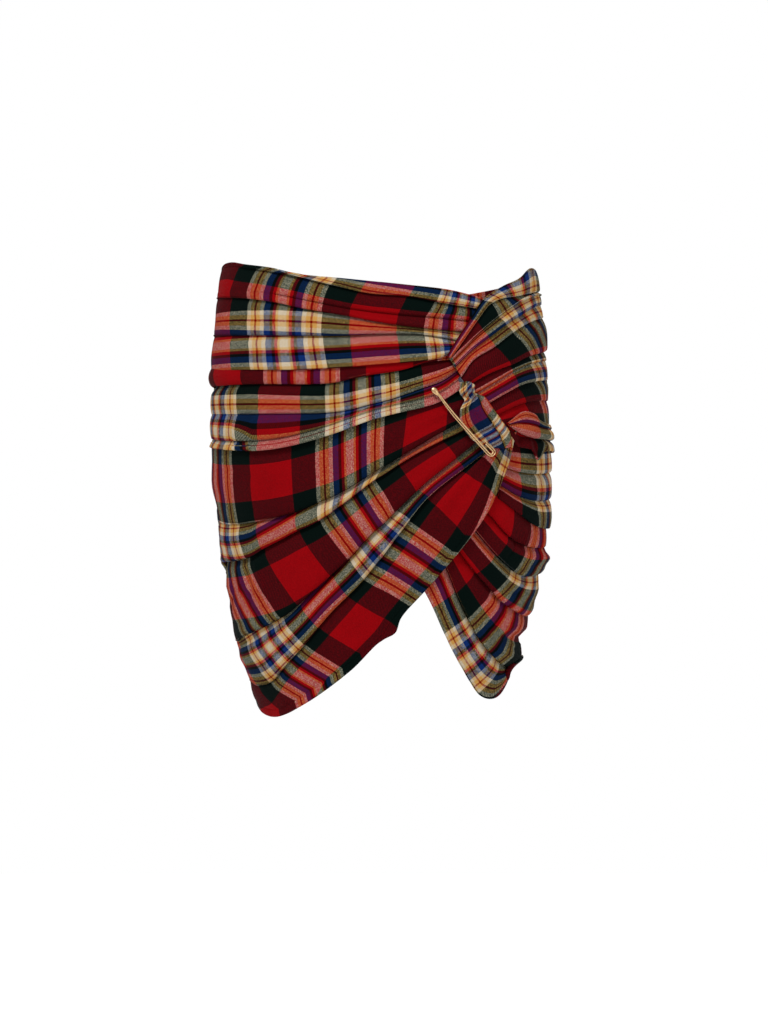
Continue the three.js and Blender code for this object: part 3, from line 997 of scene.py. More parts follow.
@dataclass
class LeftHipDrape(ClothPanel):
    """The drape between the waist drape and the front wrap, with a painted highlight on its light
    lower edge.
    """

    STRIP = ((-138, 0.639), (-116, 0.788), (-40, 1.212), (-14, 1.361), (70, 1.86))
    MAIN = ((-143, 0.212), (-121, 0.361), (-79, 0.639), (-54, 0.788), (20, 1.212), (74, 1.57))

    name: str = "left_hip_drape"
    node: str = "hip_drape_left"
    flat: Pair = (0.35, 0.09)
    columns: int = 170
    seam_out: float = 4.8
    rests_on: tuple[str, ...] = ("front_wrap_left",)
    folds: Folds = (
        FoldLine(
            ((-SIDE, -79), (-140, -78), (-80, -79), (-30, -77), (20, -73), (50, -70), (70, -65)),
            u=STRIP, under=(5, 3, 3), swell=(5, 2, 1.5), v_below=(0.50,),
        ),
        FoldLine(
            ((-SIDE, -101), (-130, -100), (-50, -100), (-30, -96), (-10, -92), (22, -87), (50, -79),
             (74, -76)),
            u=STRIP, u_below=MAIN, under=(4,), over=(6, 5), swell=(2.5,),
            v_above=(0.62, 0.62, 0.62, 0.6, 0.58, 0.56),
            v_below=(0.72, 0.72, 0.72, 0.7, 0.68, 0.66), pleats=2, pucker=(0, 0, 0.8),
        ),
        FoldLine(
            ((-SIDE, -128), (-100, -130), (-40, -128), (0, -119), (40, -106), (62, -98), (80, -86)),
            u=MAIN, under=(5, 4.5, 4), over=(5, 6, 5), swell=(3,), crisp=(0, 0.1, 0.4, 0.9),
            v_above=(0.895,), v_below=(0.90,), pleats=2, pucker=(0, 0, 0.3, 1.0),
        ),
        FoldLine(
            ((-SIDE, -152), (-150, -156), (-120, -156), (-90, -152), (-50, -141), (7, -123),
             (57, -110), (78, -96)),
            u=MAIN, under=(5, 7, 7), over=(6, 8.5, 7.5), swell=(1,), crisp=(0.5, 0.6, 0.3),
            v_above=(1.06, 1.06, 1.055, 1.05, 0.98, 0.975, 0.97, 0.97, 0.97, 0.98, 0.98),
            # painted highlight: from the fifth value on, the lip's places across the folds stay
            # inside the cream stripe, so the lip reads light
            v_below=(1.11, 1.11, 1.11, 1.105, 0.99, 0.988, 0.988, 0.988, 0.988, 0.988, 0.988),
        ),
        FoldLine(
            ((-SIDE, -159), (-150, -164), (-120, -165), (-90, -161), (-50, -150), (7, -131),
             (57, -118), (80, -104)),
            u=MAIN, over=(8, 10.5, 9.5),
            # painted highlight: here too the lip's lower edge stays inside the cream stripe
            v_above=(1.15, 1.15, 1.15, 1.14, 1.01, 1.006, 1.006, 1.006, 1.006, 1.008, 1.01),
        ),
    )
    creases: Creases = (
        Crease(((-150, -112), (-128, -117), (-100, -116)), -1.2, 4.0),
        Crease(((-100, -141), (-60, -138), (-20, -128)), -0.9, 3.6),
        Crease(((15, -98), (42, -92), (68, -80)), -1.3, 2.8),
    )


@dataclass
class LeftWrap(ClothPanel):
    """The front wrap, whose long folds fan from the kilt pin to the left side seam."""

    name: str = "left_wrap"
    node: str = "front_wrap_left"
    flat: Pair = (0.42, 0.30)
    columns: int = 230
    seam_out: float = 3.4
    gully: float = 4.2
    gully_width: float = 5.4
    rests_on: tuple[str, ...] = ("front_wrap_right",)
    folds: Folds = (
        FoldLine(
            ((-SIDE, -153), (-150, -158), (-120, -159), (-90, -155), (-50, -144), (7, -125),
             (57, -112), (88, -105)),
            u=((-148, 0.222), (-66, 0.778), (7, 1.222), (30, 1.371), (66, 1.63)), under=(6, 3, 3),
            swell=(4, 3), v_below=(0.20,), pleats=3, pucker=(0, 0, 0.2, 0.9),
        ),
        FoldLine(
            ((-SIDE, -234), (-140, -239), (-90, -229), (-64, -219), (-35, -206), (20, -173),
             (50, -155), (92, -131)),
            u=((-142, 0.222), (-64, 0.778), (5, 1.222), (23, 1.371), (64, 1.63)), under=(2.5, 4, 4),
            over=(2.5, 6, 7), swell=(3,), crisp=(0, 0.3, 1.2, 1.5, 1.5),
            v_above=(0.788, 0.788, 0.80, 0.78, 0.74, 0.71, 0.70),
            v_below=(0.80, 0.80, 0.81, 0.94, 1.0, 1.0, 1.0), pleats=2, pucker=(0.9, 0.2, 0, 0.6),
        ),
        FoldLine(
            ((-SIDE, -279), (-133, -273), (-118, -264), (-100, -255), (-85, -247), (-63, -237),
             (-35, -218), (20, -180), (50, -163), (95, -141)),
            u=((-134, 0.222), (-63, 0.778), (-4, 1.222), (20, 1.371), (61, 1.63)), under=(0, 4, 4),
            over=(3, 6, 7), swell=(2, 4.5, 4.5), crisp=(1, 0.9, 1, 1.1, 1.1),
            v_above=(1.12, 1.07, 1.05, 1.04, 1.04, 1.04),
            v_below=(1.24, 1.24, 1.23, 1.22, 1.22, 1.22), pleats=2, pucker=(1.2, 0.3, 0, 0.7),
        ),
        FoldLine(
            ((-SIDE, -358), (-140, -355), (-118, -343), (-98, -332), (-80, -318), (-35, -277),
             (-5, -246), (20, -223), (50, -195), (99, -155)),
            u=((-137, -0.222), (-98, 0.222), (-33, 0.778), (16, 1.222), (38, 1.371), (75, 1.63)),
            under=(7, 4, 5), over=(7, 7, 8), swell=(4,), crisp=(0, 0.6, 1.3, 1.7, 1.7),
            v_above=(1.788, 1.76, 1.70, 1.64, 1.60, 1.58, 1.58),
            v_below=(1.80, 1.82, 1.86, 1.93, 1.95, 1.95), pleats=2, pucker=(0.8, 0.2, 0, 0.7),
        ),
        FoldLine(
            ((-SIDE, -393), (-124, -401), (-110, -397), (-98, -384), (-74, -357), (-50, -328),
             (-17, -295), (20, -248), (50, -211), (106, -166)),
            u=((-112, -0.222), (-75, 0.222), (-17, 0.778), (31, 1.222), (50, 1.371), (82, 1.63)),
            under=(4, 5, 8), over=(4, 6, 9), swell=(3,), crisp=(0, 0.6, 1, 1.2),
            v_above=(2.20, 2.19, 2.17, 2.14, 2.12, 2.11), v_below=(2.21, 2.21, 2.22, 2.23, 2.23),
            pleats=2, pucker=(0, 0.2, 0.3, 0.9),
        ),
        FoldLine(
            ((-SIDE, -412), (-104, -424), (-75, -407), (-35, -379), (0, -350), (12, -333),
             (38, -302), (72, -265), (100, -222), (116, -180), (127, -150)),
            u=((-86, -0.222), (-37, 0.222), (24, 0.778), (72, 1.222), (84, 1.371), (107, 1.63),
               (113, 1.788), (118, 1.86), (123, 1.95)),
            under=(4, 11), over=(5, 12), swell=(1,), crisp=(0.1,),
            v_above=(2.29, 2.33, 2.40, 2.56, 2.65, 2.69, 2.71, 2.73, 2.765, 2.78, 2.79),
        ),
        FoldLine(
            ((-SIDE, -419), (-105, -431), (-70, -413), (-30, -383), (2, -353), (14, -346),
             (20, -331), (45, -303), (77, -266), (107, -223), (124, -180), (132, -147)),
            u=((-84, -0.222), (-35, 0.222), (28, 0.778), (77, 1.222), (90, 1.371), (112, 1.63),
               (120, 1.788), (124, 1.86), (128, 1.95)),
            over=(4.5, 12),
            v_above=(2.32, 2.37, 2.44, 2.60, 2.68, 2.72, 2.75, 2.77, 2.795, 2.85, 2.88),
        ),
    )
    creases: Creases = (
        Crease(((-158, -182), (-140, -190), (-112, -190)), -1.6, 5.0),
        Crease(((-120, -205), (-70, -196), (-20, -170)), -1.0, 5.0),
        Crease(((-154, -292), (-147, -306), (-150, -324)), -3.0, 3.0),
        Crease(((-146, -286), (-138, -302), (-140, -322)), 2.2, 3.2),
        Crease(((-138, -282), (-129, -300), (-128, -318)), -2.6, 3.0),
        Crease(((-127, -278), (-117, -296), (-112, -314)), 1.6, 3.6),
        Crease(((-150, -342), (-134, -338), (-118, -326)), -1.4, 4.0),
        Crease(((-142, -366), (-118, -352), (-98, -337)), -1.8, 3.2),
        Crease(((-120, -398), (-104, -392), (-88, -378)), -1.0, 3.6),
        Crease(((-60, -262), (-20, -232), (22, -204)), -0.9, 4.5),
        Crease(((30, -176), (60, -160), (90, -147)), -1.4, 2.8),
        Crease(((40, -214), (70, -190), (98, -166)), -1.2, 3.0),
        Crease(((-40, -345), (-5, -318), (30, -275)), -1.1, 5.0),
        Crease(((52, -250), (80, -212), (102, -182)), -1.3, 3.6),
        Crease(((-70, -385), (-40, -362), (-15, -338)), -0.9, 4.5),
    )


@dataclass
class RightWaistDrape(ClothPanel):
    """The upper right drape, a sheaf of narrow folds from the waist point to the gather."""

    name: str = "right_waist_drape"
    node: str = "waist_drape_right"
    flat: Pair = (0.17, 0.19)
    columns: int = 100
    seam_out: float = 5.6
    waist_edge: bool = True
    roll_samples: int = 12
    lip: float = 4.0
    gully: float = 2.0
    rests_on: tuple[str, ...] = ("waist_drape_left", "hip_drape_left")
    folds: Folds = (
        FoldLine(
            ((SIDE, 13), (152, 17), (139, 5), (123, -3), (104, -16), (90, -37), (76, -58),
             (67, -73)),
            u=((67, 0.37), (104, 0.80), (123, 0.93), (152, 1.15)), under=(4, 11), swell=(1,),
            v_below=(-0.93,),
        ),
        FoldLine(
            ((SIDE, -2), (150, -8), (135, -12), (120, -15), (108, -22), (96, -38), (82, -58),
             (69, -76)),
            u=((70, 0.37), (112, 0.788), (140, 1.02)), under=(3, 10), over=(5, 12), swell=(1,),
            v_above=(-0.80,), v_below=(-0.35,),
        ),
        FoldLine(
            ((SIDE, -8), (158, -8), (140, -17), (120, -31), (98, -50), (84, -64), (70, -78)),
            u=((73, 0.37), (117, 0.788), (150, 1.05)), under=(5, 11), over=(5, 12), swell=(1,),
            crisp=(0.2, 0.8, 1), v_above=(-0.212,), v_below=(-0.212,),
        ),
        FoldLine(
            ((SIDE, -16), (155, -21), (140, -31), (125, -41), (108, -54), (90, -68), (74, -84)),
            u=((76, 0.37), (125, 0.788)), under=(4, 6, 10), over=(5, 8, 12), swell=(1,),
            crisp=(0.2, 0.8, 1), v_above=(-0.07,), v_below=(0.11,),
        ),
        FoldLine(
            ((SIDE, -28), (150, -37), (130, -50), (112, -64), (92, -77), (80, -94)),
            u=((80, 0.37), (132, 0.788)), under=(4, 6, 9), over=(5, 8, 12), swell=(2.5,),
            crisp=(0.3, 0.8, 1), v_above=(0.212,), v_below=(0.25,),
        ),
        FoldLine(
            ((SIDE, -62), (150, -71), (132, -80), (110, -89), (94, -98), (85, -104)),
            u=((85, 0.37), (150, 0.788)), under=(3, 5, 9), over=(6, 8, 11), swell=(1,),
            crisp=(0.9, 0.6, 1), v_above=(0.385,), v_below=(0.615,),
        ),
        FoldLine(
            ((SIDE, -72), (150, -79), (132, -87), (118, -96), (100, -107), (90, -112)),
            u=((90, 0.37), (151, 0.788)), under=(4, 5, 9), over=(5, 8, 11), swell=(1.5,),
            crisp=(0.2, 0.8, 1), v_above=(0.86,), v_below=(0.99,),
        ),
        FoldLine(
            ((SIDE, -92), (145, -99), (125, -109), (108, -119), (98, -125)),
            u=((98, 0.37), (155, 0.788)), under=(4, 5, 8), over=(5, 8, 11), swell=(1.5,),
            crisp=(0.2, 0.8, 1), v_above=(1.13,), v_below=(1.27,),
        ),
        FoldLine(
            ((SIDE, -114), (150, -117), (132, -123), (116, -131), (106, -135)),
            u=((106, 0.37), (161, 0.788)), under=(4, 5, 8), over=(5, 7, 10), swell=(2,),
            crisp=(0.3, 0.8, 1), v_above=(1.40,), v_below=(1.60,),
        ),
        FoldLine(
            ((SIDE, -150), (150, -150), (134, -149), (122, -147), (114, -147)),
            u=((114, 0.37), (165, 0.788)), over=(5.5, 9), v_above=(1.70,),
        ),
    )
    creases: Creases = (
        Crease(((154, -44), (138, -52), (120, -66)), -1.0, 3.0),
        Crease(((146, -56), (128, -66), (108, -80)), -0.9, 2.6),
    )


@dataclass
class RightHipDrape(ClothPanel):
    """The small puffed drape under the ruffle's loops."""

    COLUMNS = ((140, 0.639), (155, 0.788))

    name: str = "right_hip_drape"
    node: str = "hip_drape_right"
    flat: Pair = (0.13, 0.11)
    columns: int = 70
    seam_out: float = 4.8
    rests_on: tuple[str, ...] = ("front_wrap_right",)
    folds: Folds = (
        FoldLine(
            ((SIDE, -145), (150, -146), (134, -146), (119, -149)), u=COLUMNS, under=(3,),
            swell=(2, 1), v_below=(-0.33,),
        ),
        FoldLine(
            ((SIDE, -185), (156, -189), (138, -187), (121, -181)), u=COLUMNS, under=(9, 4),
            over=(11.5, 5.5), swell=(3, 1.5), crisp=(0.4, 0.7, 0.9), v_above=(-0.112,),
            v_below=(-0.04,),
        ),
        FoldLine(
            ((SIDE, -212), (156, -216), (138, -211), (120, -200)), u=COLUMNS, under=(10, 4),
            over=(12, 5), swell=(3, 2), crisp=(0.4, 0.5, 0.8), v_above=(0.10,), v_below=(0.106,),
        ),
        FoldLine(
            ((SIDE, -243), (154, -240), (136, -226), (118, -212)), u=COLUMNS, over=(14, 7),
            v_above=(0.34,),
        ),
    )
    creases: Creases = (
        Crease(((160, -160), (147, -166), (132, -164)), -1.4, 3.2),
        Crease(((161, -198), (150, -200), (134, -196)), -1.4, 3.0),
        Crease(((160, -226), (148, -229), (134, -222)), -1.2, 3.0),
    )


@dataclass
class RightWrap(ClothPanel):
    """The lower right wrap, whose free edge falls in front of the opening."""

    name: str = "right_wrap"
    node: str = "front_wrap_right"
    flat: Pair = (0.22, 0.17)
    columns: int = 150
    seam_out: float = 3.4
    folds: Folds = (
        FoldLine(
            ((SIDE, -236), (150, -232), (132, -219), (112, -205), (98, -199)),
            u=((136, 0.65), (151, 0.788)), under=(6, 4, 3), swell=(4, 3), v_below=(1.65,),
        ),
        FoldLine(
            ((SIDE, -262), (148, -262), (130, -252), (112, -232), (94, -212)),
            u=((118, 0.53), (147, 0.788)), under=(10, 5, 3), over=(12, 6, 3.5), swell=(5, 1),
            crisp=(0.3, 0.8, 1), v_above=(1.55,), v_below=(1.45,), pleats=2, pucker=(1.2, 0.2, 0),
        ),
        FoldLine(
            ((SIDE, -288), (140, -290), (118, -272), (98, -249), (80, -228)),
            u=((96, 0.45), (134, 0.788)), under=(8, 5, 3), over=(11, 6, 3.5), swell=(4, 1),
            crisp=(0.4, 0.9, 1), v_above=(1.25,), v_below=(0.90,), pleats=2, pucker=(1.0, 0.2, 0),
        ),
        FoldLine(
            ((SIDE, -328), (146, -332), (128, -321), (108, -301), (88, -277), (64, -246)),
            u=((76, 0.45), (114, 0.788)), under=(5, 3, 3), over=(8, 6, 3.5), swell=(4, 1),
            crisp=(0.4, 0.9, 1), v_above=(0.60,), v_below=(0.50,), pleats=2, pucker=(1.0, 0.2, 0),
        ),
        FoldLine(
            ((SIDE, -362), (142, -380), (124, -381), (104, -360), (90, -337), (78, -312),
             (65, -280), (54, -262)),
            u=((62, 0.45), (88, 0.788)), under=(2, 4, 3), over=(6, 6, 3.5), swell=(2.5, 1),
            crisp=(0.5, 0.9, 0.7), v_above=(0.23,), v_below=(0.03,), pleats=1, pucker=(0.8, 0.2, 0),
        ),
        FoldLine(
            ((SIDE, -371), (145, -373), (133, -378), (127, -387), (126, -398), (121, -408),
             (112, -413), (100, -408), (90, -393), (77, -370), (66, -347), (50, -312), (34, -284)),
            u=((42, 0.5), (66, 0.788)), over=(9, 6, 3),
            v_above=(-0.28, -0.30, -0.33, -0.30, -0.22, -0.205, -0.205, -0.2, -0.2, -0.2, -0.2),
        ),
    )
    creases: Creases = (
        Crease(((163, -240), (160, -262), (152, -282)), 2.0, 3.0),
        Crease(((155, -242), (153, -262), (146, -280)), -2.2, 2.6),
        Crease(((146, -246), (143, -264), (136, -278)), 1.6, 3.0),
        Crease(((138, -250), (134, -264), (126, -274)), -1.8, 2.6),
        Crease(((160, -354), (138, -354), (120, -350)), -5.0, 4.5),
        Crease(((140, -340), (124, -346), (108, -338)), 2.0, 4.0),
        Crease(((150, -302), (134, -308), (116, -312)), -2.0, 3.4),
        Crease(((126, -320), (116, -338), (102, -348)), -1.8, 3.0),
        Crease(((156, -371), (134, -374), (114, -366)), 4.0, 5.0),
    )


@dataclass
class BackPanel(ClothPanel):
    """The back, with soft folds that run from both side seams."""

    AROUND = ((97, 0.25), (263, 2.72))
    SEAM = FIGURE.seam_bearing

    name: str = "back"
    node: str = "back_panel"
    flat: Pair = (0.46, 0.46)
    columns: int = 240
    waist_edge: bool = True
    region: Region = Region.BACK
    roll_samples: int = 14
    allowance: Path = ((0.4, 3.0), (1.2, 1.9), (5.0, 1.9))
    folds: Folds = (
        FoldLine(
            ((SEAM, 15), (130, 3), (180, -8), (230, 6), (263, 19)), u=AROUND, swell=(2,),
            v_below=(-0.55,),
        ),
        FoldLine(
            ((SEAM, -20), (118, -19), (150, -26), (180, -30), (215, -20), (263, -14)), u=AROUND,
            under=(3,), over=(5,), swell=(3,), crisp=(0.8, 0.3, 0, 0.2, 0.5), v_above=(-0.42,),
            v_below=(-0.40,), pleats=2, pucker=(0.8, 0.1, 0, 0.1, 0.9),
        ),
        FoldLine(
            ((SEAM, -56), (130, -52), (180, -62), (230, -60), (263, -70)), u=AROUND, under=(3,),
            over=(6, 5, 4, 5, 6), swell=(4, 3, 2, 3, 4), crisp=(0.9, 0.7, 0.2, 0.5, 1.0),
            v_above=(-0.20,), v_below=(-0.15,), pleats=3, pucker=(1.0, 0.2, 0, 0.1, 0.9),
        ),
        FoldLine(
            ((SEAM, -122), (130, -104), (180, -100), (230, -112), (263, -138)), u=AROUND,
            under=(3,), over=(7, 6, 4, 5, 6), swell=(5, 4, 2, 3, 4),
            crisp=(1.2, 0.9, 0.2, 0.4, 0.9), v_above=(0.17,), v_below=(0.24,), pleats=3,
            pucker=(1.2, 0.3, 0, 0.2, 0.8),
        ),
        FoldLine(
            ((SEAM, -188), (130, -158), (180, -142), (230, -172), (263, -206)), u=AROUND,
            under=(3,), over=(6, 5, 4, 6, 7), swell=(4, 3, 2, 4, 5),
            crisp=(0.9, 0.4, 0.2, 0.8, 1.2), v_above=(0.55,), v_below=(0.62,), pleats=2,
            pucker=(1.0, 0.2, 0, 0.3, 1.2),
        ),
        FoldLine(
            ((SEAM, -262), (130, -226), (180, -200), (230, -248), (263, -292)), u=AROUND,
            under=(3,), over=(7, 6, 4, 5, 6), swell=(5, 4, 2, 3, 4),
            crisp=(1.2, 0.9, 0.3, 0.5, 1.0), v_above=(1.02,), v_below=(1.09,), pleats=3,
            pucker=(1.3, 0.3, 0, 0.2, 1.1),
        ),
        FoldLine(
            ((SEAM, -318), (124, -292), (150, -262), (180, -270), (215, -330), (263, -362)),
            u=AROUND, under=(3,), over=(6, 5, 4, 5, 6), swell=(3,), crisp=(0.9, 0.4, 0, 0.4, 0.9),
            v_above=(1.36, 1.38, 1.44, 1.50, 1.55), v_below=(1.42, 1.42, 1.46, 1.54, 1.61),
            pleats=2, pucker=(1.0, 0.2, 0, 0.2, 1.0),
        ),
        FoldLine(
            ((SEAM, -367), (116, -352), (136, -322), (153, -302), (166, -294), (180, -318),
             (200, -355), (226, -395), (263, -417)),
            u=AROUND, over=(4,), v_above=(1.66, 1.62, 1.58, 1.62, 1.75, 1.85, 1.9),
        ),
    )
    creases: Creases = (
        Crease(((100, -36), (116, -40), (142, -40)), -2.2, 4.0),
        Crease(((100, -84), (122, -78), (150, -74)), -2.8, 4.5),
        Crease(((101, -104), (112, -98), (128, -92)), 1.6, 4.0),
        Crease(((101, -150), (118, -140), (142, -124)), -2.4, 4.5),
        Crease(((100, -214), (116, -202), (146, -178)), -2.6, 5.0),
        Crease(((101, -238), (112, -228), (128, -212)), 1.6, 4.0),
        Crease(((101, -294), (114, -280), (138, -250)), -2.6, 5.0),
        Crease(((101, -342), (110, -336), (122, -320)), -2.0, 3.6),
        Crease(((259, -38), (240, -34), (214, -36)), -2.2, 4.0),
        Crease(((260, -98), (238, -84), (206, -78)), -2.6, 4.5),
        Crease(((259, -120), (248, -108), (232, -98)), 1.6, 4.0),
        Crease(((259, -168), (242, -152), (214, -130)), -2.6, 4.5),
        Crease(((260, -240), (240, -218), (208, -184)), -2.8, 5.0),
        Crease(((259, -268), (248, -252), (232, -230)), 1.6, 4.0),
        Crease(((259, -324), (240, -304), (208, -262)), -2.6, 5.0),
        Crease(((258, -388), (244, -376), (222, -350)), -2.2, 4.0),
        Crease(((146, -118), (180, -116), (212, -128)), -1.6, 6.0),
        Crease(((150, -226), (176, -218), (204, -236)), -1.6, 7.0),
    )


@dataclass
class Ruffle(ClothPanel):
    """The gathered strip that stands up beside the kilt pin."""

    GATHER = 3.4

    name: str = "ruffle"
    node: str = "gather_ruffle"
    flat: Pair = (0.09, 0.035)
    columns: int = 90
    gully: float = 1.6
    gully_width: float = 2.4
    overhang: float = 1.5
    lip: float = 3.0
    rests_on: tuple[str, ...] = ("front_wrap_left", "waist_drape_right")
    folds: Folds = (
        FoldLine(
            ((79, -99), (77, -108), (82, -116), (78, -126), (79, -140), (87, -153), (98, -163)),
            u=((GATHER, -0.37),), under=(13, 12, 14), swell=(1,), v_below=(0.205,),
        ),
        FoldLine(
            ((84, -98), (84, -108), (88, -116), (86, -126), (89, -139), (98, -151), (108, -164)),
            u=((GATHER, -0.25),), under=(15, 14, 17), over=(17, 15, 18), swell=(1.5,),
            crisp=(0.2, 0.6, 0.3), v_above=(0.118,), v_below=(0.11,), pleats=1, pucker=(0.6,),
        ),
        FoldLine(
            ((88, -99), (89, -109), (95, -114), (99, -124), (107, -137), (114, -149), (119, -164)),
            u=((GATHER, -0.12),), under=(15, 13, 16), over=(17, 15, 18), swell=(1.5,),
            crisp=(0.4, 0.7, 0.5), v_above=(0.066,), v_below=(0.045,), pleats=1, pucker=(0.5,),
        ),
        FoldLine(
            ((91, -101), (92, -110), (100, -113), (107, -123), (118, -139), (124, -148),
             (126, -162)),
            u=((GATHER, 0.0),), over=(14, 15), v_above=(-0.03,),
        ),
    )
    creases: Creases = (
        Crease(((76, -111), (84, -113), (94, -111)), -3.5, 2.2),
        Crease(((84, -121), (92, -132), (98, -148)), -1.6, 2.4),
        Crease(((92, -150), (104, -146), (118, -141)), -2.0, 2.4),
    )


@dataclass
class RuffleLoops(ClothPanel):
    """The looped end of the ruffle strip, which runs to the side seam."""

    ALONG = ((122, 0.42), (150, 0.60), (160, 0.72))

    name: str = "ruffle_loops_cloth"
    node: str = "ruffle_loops"
    flat: Pair = (0.12, 0.05)
    columns: int = 80
    seam_out: float = 7.0
    gully: float = 1.6
    gully_width: float = 2.4
    lip: float = 3.0
    rests_on: tuple[str, ...] = ("waist_drape_right", "hip_drape_right")
    folds: Folds = (
        FoldLine(
            ((SIDE, -140), (158, -136), (150, -129), (138, -127), (123, -138)), u=ALONG,
            under=(7, 10, 14), swell=(1,), v_below=(0.80,),
        ),
        FoldLine(
            ((SIDE, -144), (158, -142), (148, -139), (136, -138), (124, -140)), u=ALONG,
            under=(7, 9, 13), over=(8, 12, 16), swell=(3, 2), crisp=(0.7, 1, 1), v_above=(0.93,),
            v_below=(0.952,),
        ),
        FoldLine(
            ((SIDE, -155), (159, -154), (148, -153), (136, -149), (126, -143)), u=ALONG,
            under=(7, 4, 12), over=(9.5, 13, 16), swell=(3, 1), crisp=(0.6, 1.2, 1),
            v_above=(0.99,), v_below=(1.05, 1.05, 1.10, 1.38, 1.40, 1.40),
        ),
        FoldLine(
            ((SIDE, -166), (160, -166), (154, -174), (147, -164), (134, -160), (127, -150)),
            u=ALONG, over=(12,), v_above=(1.12, 1.12, 1.16, 1.25, 1.3),
        ),
    )
    creases: Creases = (
        Crease(((152, -152), (151, -162), (154, -172)), -2.6, 2.2),
        Crease(((146, -152), (145, -160), (147, -168)), 2.0, 2.6),
        Crease(((138, -149), (137, -155), (136, -160)), -3.0, 3.4),
        Crease(((160, -136), (150, -133), (138, -134)), -1.2, 2.4),
    )


@dataclass
class KiltPin:
    """A safety pin bent from two wires that lie side by side, with a flat cap at its head.

    head, foot: across, height and stand-off of its two ends.
    turn: radius of the bar's turn at the foot, and the space between the wires.
    wires: for each wire its piece, CAD node, lane, diameter and how far it runs back up.
    cap: half width, half thickness and half length of the cap.
    taper, seat: how much the cap narrows, and how far down the wires it sits.
    start: where the wires leave the cap.
    closed, opened_at: their share of the lane in the cap, and where they reach all of it.
    stops: places on the way to the turn, as shares of the length.
    closing: the share of the lane that the end keeps.
    """

    head: Place = (53, -107, 12)
    foot: Place = (106, -173, 19.8)
    turn: float = 1.9
    turn_start: float = 5.0
    wires: tuple[tuple[str, str, float, float, float], ...] = (
        ("pin_bar", "kilt_pin_bar", 1.0, 1.7, 9.0),
        ("pin_needle", "kilt_pin_needle", 2.0, 1.15, 12.0),
    )
    cap: Place = (2.6, 1.3, 5.0)
    taper: float = 0.35
    seat: float = 0.4
    start: float = 3
    closed: float = 0.45
    opened_at: float = 0.3
    stops: Values = (0, 0.3, 0.6, 0.85)
    closing: float = 0.8
    turn_points: int = 7
    sides: int = 12

    def point(self, down: float, beside: float) -> Array:
        """A point of the pin, `down` from the head and `beside` towards the gather."""
        run = np.array(self.foot[:2]) - np.array(self.head[:2])
        length = float(np.hypot(*run))
        run = run / length
        across = self.head[0] + run[0] * down - run[1] * beside
        height = self.head[1] + run[1] * down + run[0] * beside
        out = self.head[2] + (self.foot[2] - self.head[2]) * min(down / length, 1)
        bearing = FIGURE.bearing(across, height)
        return FIGURE.points(np.array(bearing), np.array(height), np.array(out))

    def path(self, lane: float, back: float) -> Array:
        """The path of one wire.

        Args:
            lane: how many turn radii it lies outside the middle of the turn.
            back: how far it runs back up past the turn.

        Returns:
            Points from the head, round the turn, to the wire's end.
        """
        length = math.dist(self.head[:2], self.foot[:2])
        wide = lane * self.turn
        turn_at = length - self.turn_start
        points = []
        for share in self.stops:
            opened = self.closed + (1 - self.closed) * min(share / self.opened_at, 1)
            down = self.start + (length - self.start) * share
            points.append(self.point(down, self.turn - wide * opened))
        for angle in np.linspace(0, math.pi, self.turn_points):
            sine, cosine = math.sin(angle), math.cos(angle)
            points.append(self.point(turn_at + wide * sine, self.turn - wide * cosine))
        points.append(self.point(turn_at - back, self.turn + wide * self.closing))
        return centripetal(np.array(points), per_span=8)

    def wire(self, path: Array, diameter: float) -> bmesh.types.BMesh:
        """A round wire along a path, from a grid rolled into a tube.

        Args:
            path: its middle line.
            diameter: its thickness.

        Returns:
            The wire with both ends closed.
        """
        bm = bmesh.new()
        rows, turns = len(path), self.sides
        bmesh.ops.create_grid(bm, x_segments=turns, y_segments=rows - 1, size=1)
        along = np.gradient(path, axis=0)
        along /= np.linalg.norm(along, axis=1)[:, None]
        first = np.cross(along, (0.0, 1.0, 0.0))
        first /= np.linalg.norm(first, axis=1)[:, None]
        second = np.cross(along, first)
        for vert in bm.verts:
            row = round((vert.co.y + 1) / 2 * (rows - 1))
            angle = math.pi * (vert.co.x + 1)
            spoke = math.cos(angle) * first[row] + math.sin(angle) * second[row]
            vert.co = (path[row] + spoke * diameter / 2) * MM
        bmesh.ops.remove_doubles(bm, verts=bm.verts, dist=1e-6)
        bmesh.ops.holes_fill(bm, edges=bm.edges, sides=turns)
        bmesh.ops.recalc_face_normals(bm, faces=bm.faces)
        return bm

    def hood(self) -> bmesh.types.BMesh:
        """The flat cap over both wires' ends."""
        bm = bmesh.new()
        bmesh.ops.create_uvsphere(bm, u_segments=20, v_segments=12, radius=1)
        middle, beyond, beside = self.point(0, 0), self.point(1, 0), self.point(0, 1)
        down = (beyond - middle) / np.linalg.norm(beyond - middle)
        wide = (beside - middle) / np.linalg.norm(beside - middle)
        outwards = np.cross(down, wide)
        for vert in bm.verts:
            narrow = 1 - self.taper * vert.co.z
            vert.co = (middle + wide * vert.co.x * self.cap[0] * narrow
                       + outwards * vert.co.y * self.cap[1]
                       + down * (vert.co.z + self.seat) * self.cap[2]) * MM
        bmesh.ops.recalc_face_normals(bm, faces=bm.faces)
        return bm

    def build(self, brass: bpy.types.Material) -> None:
        """Builds the bar, the needle and the cap.

        Args:
            brass: their finish.
        """
        parts = [(name, node, self.wire(self.path(lane, back), diameter))
                 for name, node, lane, diameter, back in self.wires]
        parts.append(("pin_clasp", "kilt_pin_clasp", self.hood()))
        for name, node, bm in parts:
            piece = make_object(name, bm, brass)
            piece.data.shade_smooth()
            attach(piece, "root")
            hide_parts(node)
            LOG.info("%s: %d faces", name, len(piece.data.polygons))


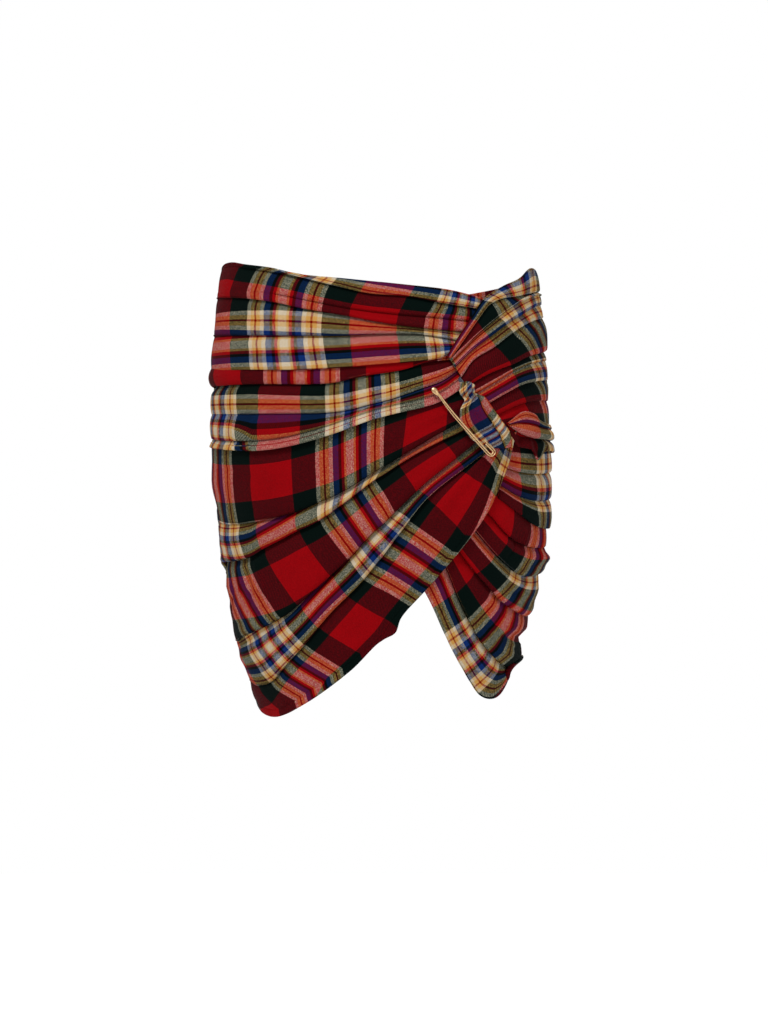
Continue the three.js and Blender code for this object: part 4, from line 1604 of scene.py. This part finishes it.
# ---------------------------------------------------------------- the studio
@dataclass
class Studio:
    """The pale floor, the soft light and the camera at eye level with the skirt's middle.

    eye: where the camera stands, in metres.
    lens, sensor: its focal length and sensor width, in millimetres.
    lights: for each light its name, place, power in watts and side in metres.
    aim: what they all face.
    """

    eye: Place = (0.004, -4.06, -0.227)
    lens: float = 140.6
    sensor: float = 36.0
    lights: tuple[tuple[str, Place, float, float], ...] = (
        ("key", (-0.7, -1.8, 2.3), 120.0, 0.8),
        ("fill", (1.6, -2.0, 0.5), 14.0, 1.4),
        ("rear", (0.6, 2.0, 2.0), 100.0, 0.9),
    )
    aim: Place = (0, 0, -0.2)
    floor_grey: float = 0.92
    floor_roughness: float = 0.9
    floor_height: float = -0.75
    floor_reach: float = 1.7
    world_strength: float = 1.0

    def build(self) -> None:
        """Makes the whole studio."""
        self.camera()
        self.world()
        self.floor()
        for light in self.lights:
            self.light(*light)
        bpy.context.scene.view_settings.view_transform = "Standard"

    def camera(self) -> None:
        """A long lens, level, along +Y."""
        data = bpy.data.cameras.new("camera")
        data.lens = self.lens
        data.sensor_width = self.sensor
        camera = bpy.data.objects.new("camera", data)
        camera.location = self.eye
        camera.rotation_euler = (math.pi / 2, 0, 0)
        bpy.context.scene.collection.objects.link(camera)
        bpy.context.scene.camera = camera

    def world(self) -> None:
        """Even white light from all round."""
        world = bpy.data.worlds.new("studio")
        world.use_nodes = True
        background = world.node_tree.nodes["Background"]
        background.inputs[0].default_value = (1, 1, 1, 1)
        background.inputs[1].default_value = self.world_strength
        bpy.context.scene.world = world

    def floor(self) -> None:
        """A wide pale floor."""
        bm = bmesh.new()
        bmesh.ops.create_grid(bm, x_segments=1, y_segments=1, size=self.floor_reach)
        bmesh.ops.translate(bm, vec=(0, 0, self.floor_height), verts=bm.verts)
        nodes = Nodes("floor")
        nodes.shader.inputs["Base Color"].default_value = (*[self.floor_grey] * 3, 1)
        nodes.shader.inputs["Roughness"].default_value = self.floor_roughness
        floor = make_object("floor", bm, nodes.material)

    def light(self, name: str, place: Place, power: float, size: float) -> None:
        """A square soft light that faces the skirt.

        Args:
            name: its name.
            place: where it stands, in metres.
            power: in watts.
            size: its side in metres.
        """
        data = bpy.data.lights.new(name, "AREA")
        data.energy = power
        data.size = size
        light = bpy.data.objects.new(name, data)
        light.location = place
        towards = Vector(self.aim) - Vector(place)
        light.rotation_euler = towards.to_track_quat("-Z", "Y").to_euler()
        bpy.context.scene.collection.objects.link(light)


def main() -> None:
    """Builds the studio, the cloth pieces and the pin."""
    logging.basicConfig(level=logging.INFO, format="%(name)s: %(message)s")
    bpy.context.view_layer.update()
    Studio().build()
    wool = TartanWool().material()
    panels = (BackPanel, RightWrap, RightHipDrape, LeftWrap, LeftHipDrape, LeftWaistDrape,
              RightWaistDrape, Ruffle, RuffleLoops)
    for panel in panels:
        panel().build(wool)
    KiltPin().build(PinBrass().material())


if __name__ == "__main__":
    main()
